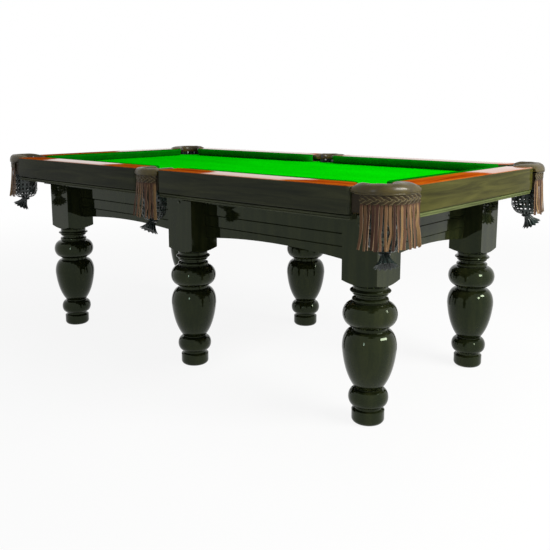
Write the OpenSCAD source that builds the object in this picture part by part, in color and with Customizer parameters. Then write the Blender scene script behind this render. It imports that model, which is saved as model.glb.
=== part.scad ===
// Seven-foot English pool table: slate bed, six turned legs, leather-capped pockets with drop baskets.
// Millimetres. X runs along the table, Y across it, Z up from the floor; the origin is the centre of the floor plan.

/* [Table] */
// Overall length over the rails
table_l = 2130; // [2000:1:2600]
// Overall width over the rails
table_w = 1190; // [1100:1:1400]
// Height of the rail tops above the floor
rail_top = 820; // [790:1:880]

/* [Rails and cushions] */
// Width of a rail's timber top
rail_w = 98; // [85:1:115]
// Height of a rail's outer face
fascia_h = 85; // [75:1:100]
// Thickness of the outer face board
fascia_t = 22; // [16:1:28]
// Radius that rounds a rail's outer top edge
rail_round = 6; // [2:0.5:9]
// Height of the beaded moulding under a rail
moulding_h = 17; // [12:1:22]
// Width of the moulding
moulding_w = 38; // [30:1:44]
// How far the moulding stands back from the outer face
moulding_set = 5; // [3:1:9]
// Reach of a cushion from its rail to its nose
cushion_w = 50; // [42:1:56]
// Drop from the rail top to the playing surface
bed_drop = 35; // [33:0.5:40]
// Radius of a cushion's rounded end at a corner pocket
corner_jaw_r = 75; // [62:1:85]
// Radius of a cushion's rounded end at a middle pocket
middle_jaw_r = 48; // [46:1:50]

/* [Bed] */
// Thickness of the slate
slate_t = 20; // [16:1:30]
// Thickness of the cloth
cloth_t = 1; // [0.8:0.1:1.6]
// Clear gap round the slate's edge
slate_gap = 2; // [1:0.5:4]

/* [Pockets] */
// Distance from the table's corner to the end of a long rail
long_rail_gap = 134; // [130:1:150]
// Distance from the table's corner to the end of an end rail
end_rail_gap = 166; // [150:1:170]
// Distance from the table's corner to the ends of the cushions
jaw_gap = 174; // [171:1:190]
// Half of the gap between two rails at a middle pocket
middle_gap = 66; // [64:1:74]
// Distance of a corner pocket's axis from the outer faces
corner_inset = 80; // [78:1:86]
// Distance of a middle pocket's axis from the outer face
middle_inset = 52; // [51:1:56]
// Radius of the throat in a corner cap
corner_throat_r = 48; // [45:1:50]
// Radius of the throat in a middle cap
middle_throat_r = 43; // [41:1:44]
// Distance of a corner cap's arc centre from the outer faces
cap_inset = 102; // [100:1:105]
// Outer radius of a corner cap
cap_r = 108; // [105:1:112]
// Outer radius of a middle cap
middle_cap_r = 130; // [124:1:140]
// How far a middle cap stands out from the rails
middle_cap_out = 18; // [14:1:22]
// Thickness of a padded cap
cap_t = 31; // [26:1:36]
// How far a cap stands above the rail tops
cap_rise = 8; // [4:1:12]
// Radius of a cap's rounded edge
cap_round = 10; // [6:1:13]

/* [Fringe] */
// Height of the plaited band
band_h = 29; // [22:1:34]
// Thickness of the plaited band
band_t = 5; // [4:0.5:6]
// How far the band hangs inside the cap's edge
band_set = 4; // [3:0.5:8]
// Length of the longest leather strips
strip_l = 136; // [110:1:150]
// Thickness of a leather strip
strip_t = 2.5; // [2:0.25:3]
// Width of a leather strip
strip_w = 10.6; // [8:0.1:11.4]
// Strips on a corner pocket
corner_strips = 18; // [16:1:18]
// Strips on a middle pocket
middle_strips = 10; // [8:1:10]
// Straight stretch of a corner fringe along the long rail
fringe_long_run = 15; // [5:1:25]
// Straight stretch of a corner fringe along the end rail
fringe_end_run = 45; // [20:1:55]
// Half of the angle that a middle fringe covers
middle_span = 28; // [27:0.5:29]

/* [Baskets] */
// Thickness of a basket's wall
basket_t = 3; // [2.5:0.25:4]
// Depth of a basket's cup below its rim
cup_h = 100; // [85:1:110]
// Depth of a basket's rounded bottom
cup_bottom_h = 36; // [30:1:44]
// Radius of a basket's gathered neck
neck_r = 16; // [12:1:20]
// Height of the flared tail
tail_h = 27; // [20:1:34]
// Radius of the flared tail's hem
tail_r = 34; // [28:1:38]
// Outward lean of the tail in degrees
tail_lean = 24; // [0:1:28]

/* [Legs] */
// Distance of an end leg's axis from the table's end
leg_inset_x = 205; // [190:1:230]
// Distance of a leg's axis from the table's side
leg_inset_y = 231; // [222:1:240]
// Width of a leg's square block
block_w = 137; // [131:1:145]
// Radius of the turned foot
foot_r = 55.5; // [50:0.5:62]
// Radius that rounds the foot's lower edge
foot_round = 15; // [8:1:18]
// Height of the turned foot
foot_h = 47; // [40:1:52]
// Height of the neck above the foot
low_neck_h = 13; // [10:1:18]
// Radius of the neck above the foot
low_neck_r = 46; // [42:0.5:48]
// Height of the low bead
low_bead_h = 58; // [52:1:66]
// Radius of the low bead
low_bead_r = 67.5; // [62:0.5:72]
// Height of the waist under the vase
waist_h = 5; // [4:1:8]
// Radius of the waist under the vase
waist_r = 44; // [40:0.5:48]
// Height of the vase's tapered body
vase_h = 137; // [120:1:155]
// Height of the vase's round shoulder
shoulder_h = 64; // [54:1:70]
// Radius of the vase
vase_r = 91; // [84:0.5:96]
// Height of the neck above the vase
high_neck_h = 11; // [8:1:14]
// Radius of the neck above the vase
high_neck_r = 59; // [54:0.5:62]
// Height of the high bead
high_bead_h = 82; // [74:1:90]
// Radius of the high bead
high_bead_r = 91; // [84:0.5:96]
// Height of the collar above the high bead
collar_h = 15; // [12:1:19]
// Radius of the collar above the high bead
collar_r = 61; // [56:0.5:66]
// Height of the groove above the collar
groove_h = 8; // [7:1:12]
// Radius of the groove above the collar
groove_r = 48; // [44:0.5:52]
// Height of the thin ring and its fillet
ring_h = 20; // [16:1:24]
// Radius of the thin ring
ring_r = 68; // [64:0.5:70]
// Height of the hollow under the block
cove_h = 16; // [12:1:20]
// Radius of the hollow under the block
cove_r = 57; // [52:0.5:60]
// Height of the round under the block and its chamfer
shoulder_round_h = 14; // [10:1:18]

/* [Frame and aprons] */
// Width of the timber liner round the slate's underside
liner_w = 60; // [50:1:70]
// Thickness of the liner
liner_t = 22; // [16:1:30]
// Height of the beams under the slate
beam_h = 46; // [40:1:60]
// Width of a long beam
beam_w = 90; // [70:1:110]
// Width of a cross beam
cross_w = 70; // [50:1:90]
// Thickness of the boards on top of the legs
board_t = 28; // [22:1:34]
// How far a long board stands out past the leg blocks
board_out_y = 27; // [15:1:32]
// How far an end board stands out past the leg blocks
board_out_x = 17; // [10:1:24]
// How far a board reaches in past what it covers
board_in = 4; // [2:1:10]
// Thickness of an apron
apron_t = 25; // [20:1:30]
// How far an apron stands back from the leg blocks' faces
apron_set = 70; // [60:1:85]
// Height of an apron at its ends
apron_h = 155; // [140:1:180]
// Rise of the arch in an apron's lower edge
arch_rise = 20; // [12:1:28]
// Flat length at each end of the arch
arch_flat = 20; // [12:1:40]
// Width of an apron's long grooves
apron_groove = 5; // [3:0.5:8]
// Depth by which each lower band of an apron steps back
apron_step = 4; // [2:0.5:6]
// Height of the upper groove above the apron's lower edge
high_groove_z = 95; // [85:1:110]
// Height of the lower groove above the apron's lower edge
low_groove_z = 50; // [42:1:60]

/* [Fixings] */
// Shank radius of a rail or pocket bolt
bolt_r = 4; // [3:0.25:5]
// Depth that a rail or pocket bolt reaches into its rail
bolt_grip = 24; // [16:1:28]
// Depth that a cap bolt reaches into its rail
cap_grip = 38; // [25:1:45]
// Shank radius of a leg bolt
leg_bolt_r = 5; // [4:0.25:6]
// Shank length of a leg bolt
leg_bolt_l = 120; // [100:1:150]
// Shank radius of a slate screw
screw_r = 3; // [2.5:0.25:4]
// Shank length of a slate screw
screw_l = 44; // [36:1:56]
// Distance of a leg bolt from its leg's axis
leg_bolt_out = 34; // [24:1:42]
// Radius of a leveller's stud
stud_r = 6; // [5:0.25:8]
// Length of a leveller's stud
stud_l = 70; // [60:1:90]
// Radius of a leveller's pad
pad_r = 22; // [18:0.5:24]
// Thickness of a leveller's pad
pad_t = 5; // [4:0.5:7]
// Height of a closed pad above the floor
pad_lift = 2; // [1:0.5:3]
// Outer radius of a threaded insert
insert_r = 11; // [9.5:0.25:13]
// Length of a threaded insert
insert_l = 30; // [24:1:40]

/* [Hidden] */
$fn = 96;

// Clearance round a shank in its hole
shank_gap = 0.3;
// Running clearance of a stud in its insert
stud_gap = 0.06;
// Seating gap of small fitted pieces
seat_gap = 0.3;
// Margin by which a cutter runs past a face
past = 1;
// How much narrower than its round end each side of a straight way is
lip = 1;

// Heights of the stacked frame
half_l = table_l / 2;
half_w = table_w / 2;
bed_z = rail_top - bed_drop;
slate_top = bed_z - cloth_t;
frame_top = slate_top - slate_t;
frame_low = frame_top - beam_h;
board_low = frame_low - board_t;
liner_low = frame_top - liner_t;
fascia_low = rail_top - fascia_h;
cap_top = rail_top + cap_rise;
cap_low = cap_top - cap_t;
band_low = cap_low - band_h;
rim_z = frame_top - 2;

// Plan positions
nose_x = half_l - rail_w - cushion_w;
nose_y = half_w - rail_w - cushion_w;
leg_x = half_l - leg_inset_x;
leg_y = half_w - leg_inset_y;
pocket_x = half_l - corner_inset;
pocket_y = half_w - corner_inset;
middle_y = half_w - middle_inset;
block_half = block_w / 2;
beam_y = leg_y + 8;
apron_y = leg_y + block_half - apron_set - apron_t;
apron_x = leg_x + block_half - apron_set - apron_t;
board_x = leg_x + block_half + board_out_x;
board_y = leg_y + block_half + board_out_y;
board_y_in = leg_y - block_half - board_in;
board_x_in = apron_x - board_in;
rail_bolt_in = 50;
cap_bolt_in = 55;
bolt_z = rail_top - 10;
head_r = 9;
head_h = 6;
head_room = 0.5;
cap_bolt_in_axis = corner_inset - cap_bolt_in;
corner_lug = sqrt(pow(corner_throat_r, 2) - pow(cap_bolt_in_axis, 2)) + 6;
middle_lug = middle_throat_r + 4;
middle_bolt_y = middle_y - 3;
bolt_l = slate_top + cloth_t - liner_low + bolt_grip;
pocket_cut_r = corner_throat_r + basket_t + 6;
middle_cut_r = middle_throat_r + basket_t + 6;
middle_cap_y = half_w + middle_cap_out - middle_cap_r;

// Depth, from the outer face, to which a rail's end stays square
rail_trim_deep = 65;
// Radius of the turned round that meets the block
under_r = block_half - 6;

// Heights of the turned stack, from the floor up
z_low_neck = foot_h;
z_low_bead = z_low_neck + low_neck_h;
z_waist = z_low_bead + low_bead_h;
z_vase = z_waist + waist_h;
z_shoulder = z_vase + vase_h;
z_high_neck = z_shoulder + shoulder_h;
z_high_bead = z_high_neck + high_neck_h;
z_collar = z_high_bead + high_bead_h;
z_groove = z_collar + collar_h;
z_ring = z_groove + groove_h;
z_cove = z_ring + ring_h;
z_round = z_cove + cove_h;
z_block = z_round + shoulder_round_h;

// Recess and bore for a leveller
recess_r = pad_r + 3;
recess_h = pad_lift + pad_t + seat_gap;

apron_low = board_low - apron_h;

// A half ellipse from z0 to z1 that swells from radius r0 to radius r1
function bead(z0, z1, r0, r1, n = 12) =
    [for (i = [0:n]) let (a = 180 * i / n - 90)
        [r0 + (r1 - r0) * cos(a), (z0 + z1) / 2 + (z1 - z0) / 2 * sin(a)]];

// A quarter ellipse that leaves radius r1 upright at z0 and closes to radius r0 at z1
function shoulder(z0, z1, r0, r1, n = 10) =
    [for (i = [0:n]) let (a = 90 * i / n) [r0 + (r1 - r0) * cos(a), z0 + (z1 - z0) * sin(a)]];

// A smooth curve from p to s that leans towards q
function bend(p, q, s, n = 12) =
    [for (i = [0:n]) let (t = i / n) (1 - t) * (1 - t) * p + 2 * t * (1 - t) * q + t * t * s];

// A circular arc about c from angle a0 to a1
function arc(c, r, a0, a1, n = 8) =
    [for (i = [0:n]) let (a = a0 + (a1 - a0) * i / n) [c[0] + r * cos(a), c[1] + r * sin(a)]];

// The turned outline, from the floor to the block
function leg_outline() = concat(
    [[0, 0]],
    arc([foot_r - foot_round, foot_round], foot_round, -90, 0),
    [[foot_r, foot_h - 3], [foot_r - 3, foot_h]],
    [[low_neck_r, z_low_neck + 4], [low_neck_r, z_low_bead - 1]],
    bead(z_low_bead, z_waist, low_neck_r + 2, low_bead_r),
    [[waist_r, z_waist + 1], [waist_r, z_vase - 1]],
    bend([waist_r + 3, z_vase], [vase_r - 8, z_vase + vase_h / 3], [vase_r, z_shoulder]),
    shoulder(z_shoulder + 6, z_high_neck, high_neck_r, vase_r),
    [[high_neck_r, z_high_neck + 1], [high_neck_r, z_high_bead - 1]],
    bead(z_high_bead, z_collar, high_neck_r - 3, high_bead_r, 16),
    [[collar_r - 5, z_collar + 1]],
    bead(z_collar + 2, z_groove - 1, collar_r - 5, collar_r, 6),
    [[groove_r, z_groove + 1], [groove_r, z_ring - 1]],
    bead(z_ring, z_ring + ring_h / 2, groove_r + 4, collar_r - 2, 6),
    bead(z_ring + ring_h / 2, z_cove, collar_r - 3, ring_r, 8),
    [[cove_r, z_cove + 1], [cove_r + 2, z_round - 3]],
    [[under_r, z_round], [under_r, z_block + 1], [0, z_block + 1]]
);

// Place the children in one quarter of the table; they are drawn for the far right quarter
module quarter(sx, sy)
    mirror([sx < 0 ? 1 : 0, 0, 0])
        mirror([0, sy < 0 ? 1 : 0, 0])
            children();

// Place the children on the near or far side
module side(sy)
    mirror([0, sy < 0 ? 1 : 0, 0])
        children();

// Plan of the way into a corner pocket: a throat that runs towards the bed
module corner_throat(r, inward)
    translate([pocket_x, pocket_y]) {
        circle(r = r);
        rotate(225)
            translate([0, lip - r])
                square([inward, 2 * (r - lip)]);
    }

// Plan of a corner cut-out that runs out past the corner
module corner_cut(r)
    translate([pocket_x, pocket_y]) {
        circle(r = r);
        rotate(45)
            translate([0, lip - r])
                square([3 * corner_inset, 2 * (r - lip)]);
    }

// Plan of a middle cut-out that runs out past the side
module middle_cut(r)
    translate([0, middle_y]) {
        circle(r = r);
        translate([lip - r, 0])
            square([2 * (r - lip), 2 * middle_inset]);
    }

// Plan of the slate or the cloth
module bed_plan()
    difference() {
        square([2 * (half_l - fascia_t - slate_gap), 2 * (half_w - fascia_t - slate_gap)], center = true);
        for (sx = [-1, 1], sy = [-1, 1])
            quarter(sx, sy)
                corner_cut(pocket_cut_r);
        for (sy = [-1, 1])
            side(sy)
                middle_cut(middle_cut_r);
    }

// Places of the rail bolts on the far right quarter
rail_bolt_x = [middle_gap + 84, (middle_gap + half_l - long_rail_gap) / 2, half_l - jaw_gap - 63];
rail_bolt_y = (half_w - end_rail_gap) * 2 / 3;
screw_x = [leg_x / 4, leg_x * 3 / 4];

// Put a child at every rail bolt, head down
module at_rail_bolts() {
    for (sx = [-1, 1], sy = [-1, 1], x = rail_bolt_x)
        translate([sx * x, sy * (half_w - rail_bolt_in), liner_low])
            children();
    for (sx = [-1, 1], y = [-rail_bolt_y, 0, rail_bolt_y])
        translate([sx * (half_l - rail_bolt_in), y, liner_low])
            children();
}

// Put a child at every slate screw, head up
module at_screws() {
    for (sx = [-1, 1], sy = [-1, 1], x = screw_x)
        translate([sx * x, sy * beam_y, slate_top])
            children();
    for (sx = [-1, 1])
        translate([sx * (leg_x + block_half - beam_w / 2), 0, slate_top])
            children();
}

// Put a child at every leg bolt, head up
module at_leg_bolts()
    for (x = [-leg_x, 0, leg_x], y = [-beam_y, beam_y], s = [-1, 1])
        translate([x + s * leg_bolt_out, y, frame_top])
            children();

// A bolt that points up, its head below the origin
module bolt_up(r, l) {
    translate([0, 0, -head_h])
        cylinder(r = head_r, h = head_h);
    cylinder(r = r, h = l);
}

// A bolt that points down, its head below the origin's level
module bolt_down(r, l) {
    translate([0, 0, -head_h - head_room])
        cylinder(r = head_r, h = head_h);
    translate([0, 0, -head_h - head_room - l])
        cylinder(r = r, h = l + past);
}

// The hole that a downward bolt needs
module bolt_down_hole(r, l) {
    translate([0, 0, -head_h - head_room])
        cylinder(r = head_r + head_room, h = head_h + head_room + past);
    translate([0, 0, -head_h - head_room - l - 2])
        cylinder(r = r + shank_gap, h = l + past + 2);
}

// A countersunk screw that points down from the origin
module screw(l, gap = 0) {
    translate([0, 0, -4])
        cylinder(r1 = screw_r + gap, r2 = screw_r + 4 + gap, h = 4);
    translate([0, 0, -l])
        cylinder(r = screw_r + gap, h = l - 4 + past);
}

module slate_bed()
    color("dimgray")
        difference() {
            translate([0, 0, frame_top])
                linear_extrude(slate_t)
                    bed_plan();
            at_rail_bolts()
                cylinder(r = bolt_r + shank_gap, h = bolt_l);
            at_screws()
                screw(slate_t + past, shank_gap);
        }

module bed_cloth()
    color("limegreen")
        difference() {
            translate([0, 0, slate_top])
                linear_extrude(cloth_t)
                    bed_plan();
            at_rail_bolts()
                cylinder(r = bolt_r + shank_gap, h = bolt_l);
        }

// Section of a rail: outward distance from the inner edge, then height
module rail_section() {
    out = rail_w;
    polygon(concat(
        [[0, bed_z], [out - fascia_t, bed_z], [out - fascia_t, fascia_low], [out, fascia_low]],
        arc([out - rail_round, rail_top - rail_round], rail_round, 0, 90, 6),
        [[0, rail_top]]
    ));
}

// Section of the moulding: two beads over a flat strip
module moulding_section() {
    out = rail_w - moulding_set;
    r = moulding_h / 4;
    low = fascia_low - moulding_h;
    polygon(concat(
        [[out - moulding_w, fascia_low], [out - moulding_w, low]],
        arc([out - r, low + r], r, -90, 80, 6),
        arc([out - r + 1.5, low + 3 * r], r, -80, 90, 6)
    ));
}

// Section of a cushion's rubber, its nose to the left; grow adds the cloth
module cushion_section(grow = 0) {
    back = cushion_w;
    low = bed_z + 1.2 - grow;
    polygon([
        [back, low], [back, rail_top - 1 + grow],
        [5 - grow, rail_top - 2.5 + grow], [1 - grow, rail_top - 5.5 + grow / 2],
        [1 - grow, rail_top - 11 - grow / 2], [25 - grow, low]
    ]);
}

// Extrude a section along X from x0 to x1 on the far side; inner is the Y of the section's left edge
module run_x(x0, x1, inner)
    translate([x0, inner, 0])
        rotate([90, 0, 90])
            linear_extrude(x1 - x0)
                children();

// The same for an end, along Y on the right end
module run_y(y0, y1, inner)
    translate([inner, y1, 0])
        rotate([90, 0, 0])
            linear_extrude(y1 - y0)
                children();

// Plan wedge that trims a rail's inner corner where it meets the pocket's way in; gap is the rail's own
module rail_trim(gap)
    polygon([
        [-jaw_gap, -rail_w - past], [-jaw_gap, -rail_w], [-gap, -rail_trim_deep],
        [past - gap, -rail_trim_deep], [past - gap, -rail_w - past]
    ]);

// A horizontal bolt's place at a corner, on the long rail's side
module at_long_cap_bolt()
    translate([pocket_x - corner_lug, half_w - cap_bolt_in, bolt_z])
        rotate([0, -90, 0])
            children();

// The same on the end rail's side
module at_end_cap_bolt()
    translate([half_l - cap_bolt_in, pocket_y - corner_lug, bolt_z])
        rotate([90, 0, 0])
            children();

// The bolts' places at a middle pocket on the far side
module at_middle_cap_bolts()
    for (s = [-1, 1])
        translate([s * middle_lug, middle_bolt_y, bolt_z])
            rotate([0, s * 90, 0])
                children();

// Lengths of the horizontal bolts
long_cap_bolt_l = long_rail_gap - corner_inset - corner_lug + cap_grip;
end_cap_bolt_l = end_rail_gap - corner_inset - corner_lug + cap_grip;
middle_cap_bolt_l = middle_gap - middle_lug + cap_grip;

// The hole that a horizontal bolt needs, with room for its head on the pocket's side
module cap_bolt_hole(l) {
    cylinder(r = bolt_r + shank_gap, h = l + 2);
    translate([0, 0, -3 * head_h])
        cylinder(r = head_r + head_room, h = 3 * head_h);
}

module corner_bolt_holes() {
    at_long_cap_bolt()
        cap_bolt_hole(long_cap_bolt_l);
    at_end_cap_bolt()
        cap_bolt_hole(end_cap_bolt_l);
}

// A long rail in the far right quarter
module long_rail()
    color("saddlebrown")
        difference() {
            run_x(middle_gap, half_l - long_rail_gap, half_w - rail_w)
                rail_section();
            translate([half_l, half_w, fascia_low])
                linear_extrude(fascia_h + past)
                    rail_trim(long_rail_gap);
            at_rail_bolts()
                cylinder(r = bolt_r + shank_gap, h = bolt_l + 2);
            at_long_cap_bolt()
                cap_bolt_hole(long_cap_bolt_l);
            at_middle_cap_bolts()
                cap_bolt_hole(middle_cap_bolt_l);
        }

// The right end rail
module end_rail()
    color("saddlebrown")
        difference() {
            run_y(end_rail_gap - half_w, half_w - end_rail_gap, half_l - rail_w)
                rail_section();
            for (sy = [-1, 1])
                side(sy) {
                    translate([half_l, half_w, fascia_low])
                        linear_extrude(fascia_h + past)
                            mirror([1, -1])
                                rail_trim(end_rail_gap);
                    at_end_cap_bolt()
                        cap_bolt_hole(end_cap_bolt_l);
                }
            at_rail_bolts()
                cylinder(r = bolt_r + shank_gap, h = bolt_l + 2);
        }

// Plan of a long cushion in the far right quarter, with its rounded ends
corner_jaw_run = sqrt(pow(corner_jaw_r, 2) - pow(corner_jaw_r - cushion_w, 2));
corner_jaw_x = half_l - jaw_gap - corner_jaw_run;
corner_jaw_y = half_w - jaw_gap - corner_jaw_run;
middle_jaw_x = middle_gap + middle_jaw_r;

module long_cushion_plan(grow)
    difference() {
        translate([middle_gap, nose_y - past])
            square([half_l - jaw_gap - middle_gap, cushion_w + past]);
        translate([corner_jaw_x, nose_y - past])
            jaw_cutter(corner_jaw_r, grow);
        translate([middle_jaw_x, nose_y - past])
            mirror([1, 0])
                jaw_cutter(middle_jaw_r, grow);
    }

// A square with a quarter circle left standing; the cut that rounds a cushion's end
module jaw_cutter(r, grow)
    difference() {
        square([2 * r, r + past - 0.2]);
        translate([0, r + past])
            circle(r = r - 1 + grow);
    }

module end_cushion_plan(grow)
    difference() {
        translate([nose_x - past, jaw_gap - half_w])
            square([cushion_w + past, 2 * (half_w - jaw_gap)]);
        for (sy = [-1, 1])
            side(sy)
                translate([nose_x - past, corner_jaw_y])
                    mirror([1, -1])
                        jaw_cutter(corner_jaw_r, grow);
    }

// A long cushion in the far right quarter; grow 0 is the rubber and 1 is its cloth's outer skin
module long_cushion_body(grow)
    intersection() {
        run_x(middle_gap, half_l - jaw_gap, nose_y)
            cushion_section(grow);
        translate([0, 0, bed_z - past])
            linear_extrude(bed_drop + 2 * past)
                long_cushion_plan(grow);
    }

module end_cushion_body(grow)
    intersection() {
        run_y(jaw_gap - half_w, half_w - jaw_gap, nose_x)
            cushion_section(grow);
        translate([0, 0, bed_z - past])
            linear_extrude(bed_drop + 2 * past)
                end_cushion_plan(grow);
    }

module long_cushion()
    color("black")
        long_cushion_body(0);

module end_cushion()
    color("black")
        end_cushion_body(0);

// The cloth is what the outer skin adds to the rubber
module cushion_cloths()
    color("green") {
        for (sx = [-1, 1], sy = [-1, 1])
            quarter(sx, sy)
                difference() {
                    long_cushion_body(1);
                    long_cushion_body(0);
                }
        for (sx = [-1, 1])
            mirror([sx < 0 ? 1 : 0, 0, 0])
                difference() {
                    end_cushion_body(1);
                    end_cushion_body(0);
                }
    }

module rail_mouldings()
    color("saddlebrown") {
        for (sx = [-1, 1], sy = [-1, 1])
            quarter(sx, sy)
                run_x(middle_gap, half_l - long_rail_gap, half_w - rail_w)
                    moulding_section();
        for (sx = [-1, 1])
            mirror([sx < 0 ? 1 : 0, 0, 0])
                run_y(end_rail_gap - half_w, half_w - end_rail_gap, half_l - rail_w)
                    moulding_section();
    }

// Section of a padded cap, from its arc's centre out to its rounded edge
module cap_section(r)
    polygon(concat(
        [[0, cap_low]],
        arc([r - cap_round, cap_low + cap_round], cap_round, -90, 0, 6),
        arc([r - cap_round, cap_top - cap_round], cap_round, 0, 90, 6),
        [[0, cap_top]]
    ));

// A leather-covered corner cap, in the far right quarter: a quarter round with a straight arm to each rail
module corner_cap()
    color("dimgray")
        difference() {
            union() {
                translate([half_l - cap_inset, half_w - cap_inset, 0])
                    rotate_extrude(angle = 90)
                        cap_section(cap_r);
                run_x(half_l - long_rail_gap, half_l - cap_inset, half_w - cap_inset)
                    cap_section(cap_r);
                run_y(half_w - end_rail_gap, half_w - cap_inset, half_l - cap_inset)
                    cap_section(cap_r);
                translate([half_l - long_rail_gap, half_w - end_rail_gap, cap_low])
                    cube([long_rail_gap - cap_inset, end_rail_gap - cap_inset, cap_t]);
            }
            translate([0, 0, cap_low - past])
                linear_extrude(cap_t + 2 * past)
                    corner_throat(corner_throat_r, 2 * end_rail_gap);
            corner_bolt_holes();
        }

// A leather-covered middle cap, on the far side
module middle_cap()
    color("dimgray")
        difference() {
            intersection() {
                translate([0, middle_cap_y, 0])
                    rotate_extrude()
                        cap_section(middle_cap_r);
                translate([-middle_gap, half_w - rail_w, cap_low - past])
                    cube([2 * middle_gap, 2 * rail_w, cap_t + 2 * past]);
            }
            translate([0, 0, cap_low - past])
                linear_extrude(cap_t + 2 * past)
                    translate([0, middle_y]) {
                        circle(r = middle_throat_r);
                        translate([lip - middle_throat_r, -rail_w])
                            square([2 * (middle_throat_r - lip), rail_w]);
                    }
            at_middle_cap_bolts()
                cap_bolt_hole(middle_cap_bolt_l);
        }

// Put a child on the path of a fringe: a straight run, an arc of the given sweep from +X, and a straight run
module on_fringe(r, sweep, first, s) {
    turn = (s - first) / r * 180 / PI;
    if (turn < 0)
        translate([r, s - first, 0])
            children();
    else
        rotate(min(turn, sweep))
            translate([r, max(0, turn - sweep) * r * PI / 180, 0])
                children();
}

// A plaited band with leather strips below it; first and last are its straight runs
module fringe(r, sweep, first, last, strips) {
    pitch = (first + r * sweep * PI / 180 + last) / strips;
    rotate_extrude(angle = sweep)
        translate([r - band_t, band_low])
            square([band_t, band_h]);
    translate([r - band_t, -first, band_low])
        cube([band_t, first + 0.01, band_h]);
    rotate(sweep)
        translate([r - band_t, -0.01, band_low])
            cube([band_t, last + 0.01, band_h]);
    for (i = [0:strips - 1]) {
        short = 5 * abs(sin(i * 67));
        on_fringe(r, sweep, first, (i + 0.5) * pitch)
            translate([-(band_t + strip_t) / 2, -strip_w / 2, band_low - strip_l + short])
                cube([strip_t, strip_w, strip_l - short + 2]);
    }
}

module corner_fringe()
    color("sienna")
        translate([half_l - cap_inset, half_w - cap_inset, 0])
            fringe(cap_r - band_set, 90, fringe_end_run, fringe_long_run, corner_strips);

module middle_fringe()
    color("sienna")
        translate([0, middle_cap_y, 0])
            rotate(90 - middle_span)
                fringe(middle_cap_r - band_set, 2 * middle_span, 0.01, 0.01, middle_strips);

// A drop basket about the origin: a cup hung from its back wall, a gathered knot and a flared tail
module basket(r) {
    out = r + basket_t;
    cup_low = rim_z - cup_h;
    knot_z = cup_low - cup_bottom_h;
    knot_r = neck_r + 2;
    stem_r = neck_r - 2;
    stem_z = -knot_r - 1;
    hem_z = stem_z - tail_h;
    outer = shoulder(0, cup_bottom_h, neck_r, out);
    inner = shoulder(0, cup_bottom_h - basket_t, neck_r - basket_t, r);
    wall_in = basket_t / 8;
    rotate_extrude()
        polygon(concat(
            [[r, rim_z], [out, rim_z]],
            [for (p = outer) [p[0], cup_low - p[1]]],
            [[0, knot_z], [0, knot_z + basket_t]],
            [for (i = [10:-1:0]) [inner[i][0], cup_low - inner[i][1]]]
        ));
    // back wall that hangs the cup under the cap
    rotate(-10)
        rotate_extrude(angle = 200)
            translate([r + wall_in, rim_z - 2])
                square([basket_t - 2 * wall_in, cap_low - rim_z + 2]);
    // knot that gathers the leather
    translate([0, 0, knot_z])
        sphere(r = knot_r);
    // flared tail, leaning outwards
    translate([0, 0, knot_z])
        rotate([tail_lean, 0, 0])
            rotate_extrude()
                polygon(concat(
                    [[0, -knot_r / 2], [stem_r, -knot_r / 2]],
                    bend([stem_r, stem_z], [stem_r + 3, hem_z + tail_h / 3], [tail_r, hem_z], 6),
                    bend([tail_r - basket_t, hem_z], [stem_r, hem_z + tail_h / 3], [stem_r - 4, stem_z - 4], 6),
                    [[0, stem_z - 4]]
                ));
}

module corner_basket()
    color("black")
        translate([pocket_x, pocket_y, 0])
            rotate(-45)
                basket(corner_throat_r + 1);

module middle_basket()
    color("black")
        translate([0, middle_y, 0])
            basket(middle_throat_r + 1);

// A leg about its own axis; shift is where the frame's bolts lie across it
module leg(shift)
    color([0.08, 0.07, 0.06])
        difference() {
            union() {
                rotate_extrude($fn = 120)
                    polygon(leg_outline());
                intersection() {
                    translate([-block_half, -block_half, z_round])
                        cube([block_w, block_w, board_low - z_round]);
                    union() {
                        translate([0, 0, z_round])
                            cylinder(r1 = under_r, r2 = block_w, h = shoulder_round_h * (block_w - under_r) / 35);
                        translate([0, 0, z_block])
                            cylinder(r = block_w - past, h = board_low);
                    }
                }
            }
            translate([0, 0, -past])
                cylinder(r = recess_r, h = recess_h + past);
            cylinder(r = insert_r + stud_gap, h = recess_h + insert_l);
            cylinder(r = stud_r + 1, h = recess_h + stud_l);
            for (s = [-1, 1])
                translate([s * leg_bolt_out, shift, frame_top])
                    bolt_down_hole(leg_bolt_r, leg_bolt_l);
        }

// A screw leveller about its leg's axis
module leveller()
    color("silver")
        translate([0, 0, pad_lift]) {
            cylinder(r = pad_r, h = pad_t);
            cylinder(r = stud_r, h = stud_l);
        }

module leveller_inserts()
    color("goldenrod")
        for (x = [-leg_x, 0, leg_x], y = [-leg_y, leg_y])
            translate([x, y, recess_h])
                difference() {
                    cylinder(r = insert_r, h = insert_l);
                    translate([0, 0, -past])
                        cylinder(r = stud_r + stud_gap, h = insert_l + 2 * past);
                }

// Section of an apron: inner face on the left; each lower band of its outer face steps back behind a groove
module apron_section() {
    g = apron_groove;
    middle = apron_t - apron_step;
    low = middle - apron_step;
    polygon([
        [0, apron_low], [low, apron_low],
        [low, apron_low + low_groove_z - g], [low - g / 2, apron_low + low_groove_z],
        [middle, apron_low + low_groove_z],
        [middle, apron_low + high_groove_z - g], [middle - g / 2, apron_low + high_groove_z],
        [apron_t, apron_low + high_groove_z],
        [apron_t, board_low], [0, board_low]
    ]);
}

// The cylinder that cuts an apron's arch, along Y, for a bay of the given length
module arch_cutter(length) {
    half_chord = length / 2 - arch_flat;
    r = (half_chord * half_chord + arch_rise * arch_rise) / (2 * arch_rise);
    translate([0, 0, apron_low + arch_rise - r])
        rotate([90, 0, 0])
            cylinder(r = r, h = 4 * apron_t, center = true, $fn = 720);
}

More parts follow.
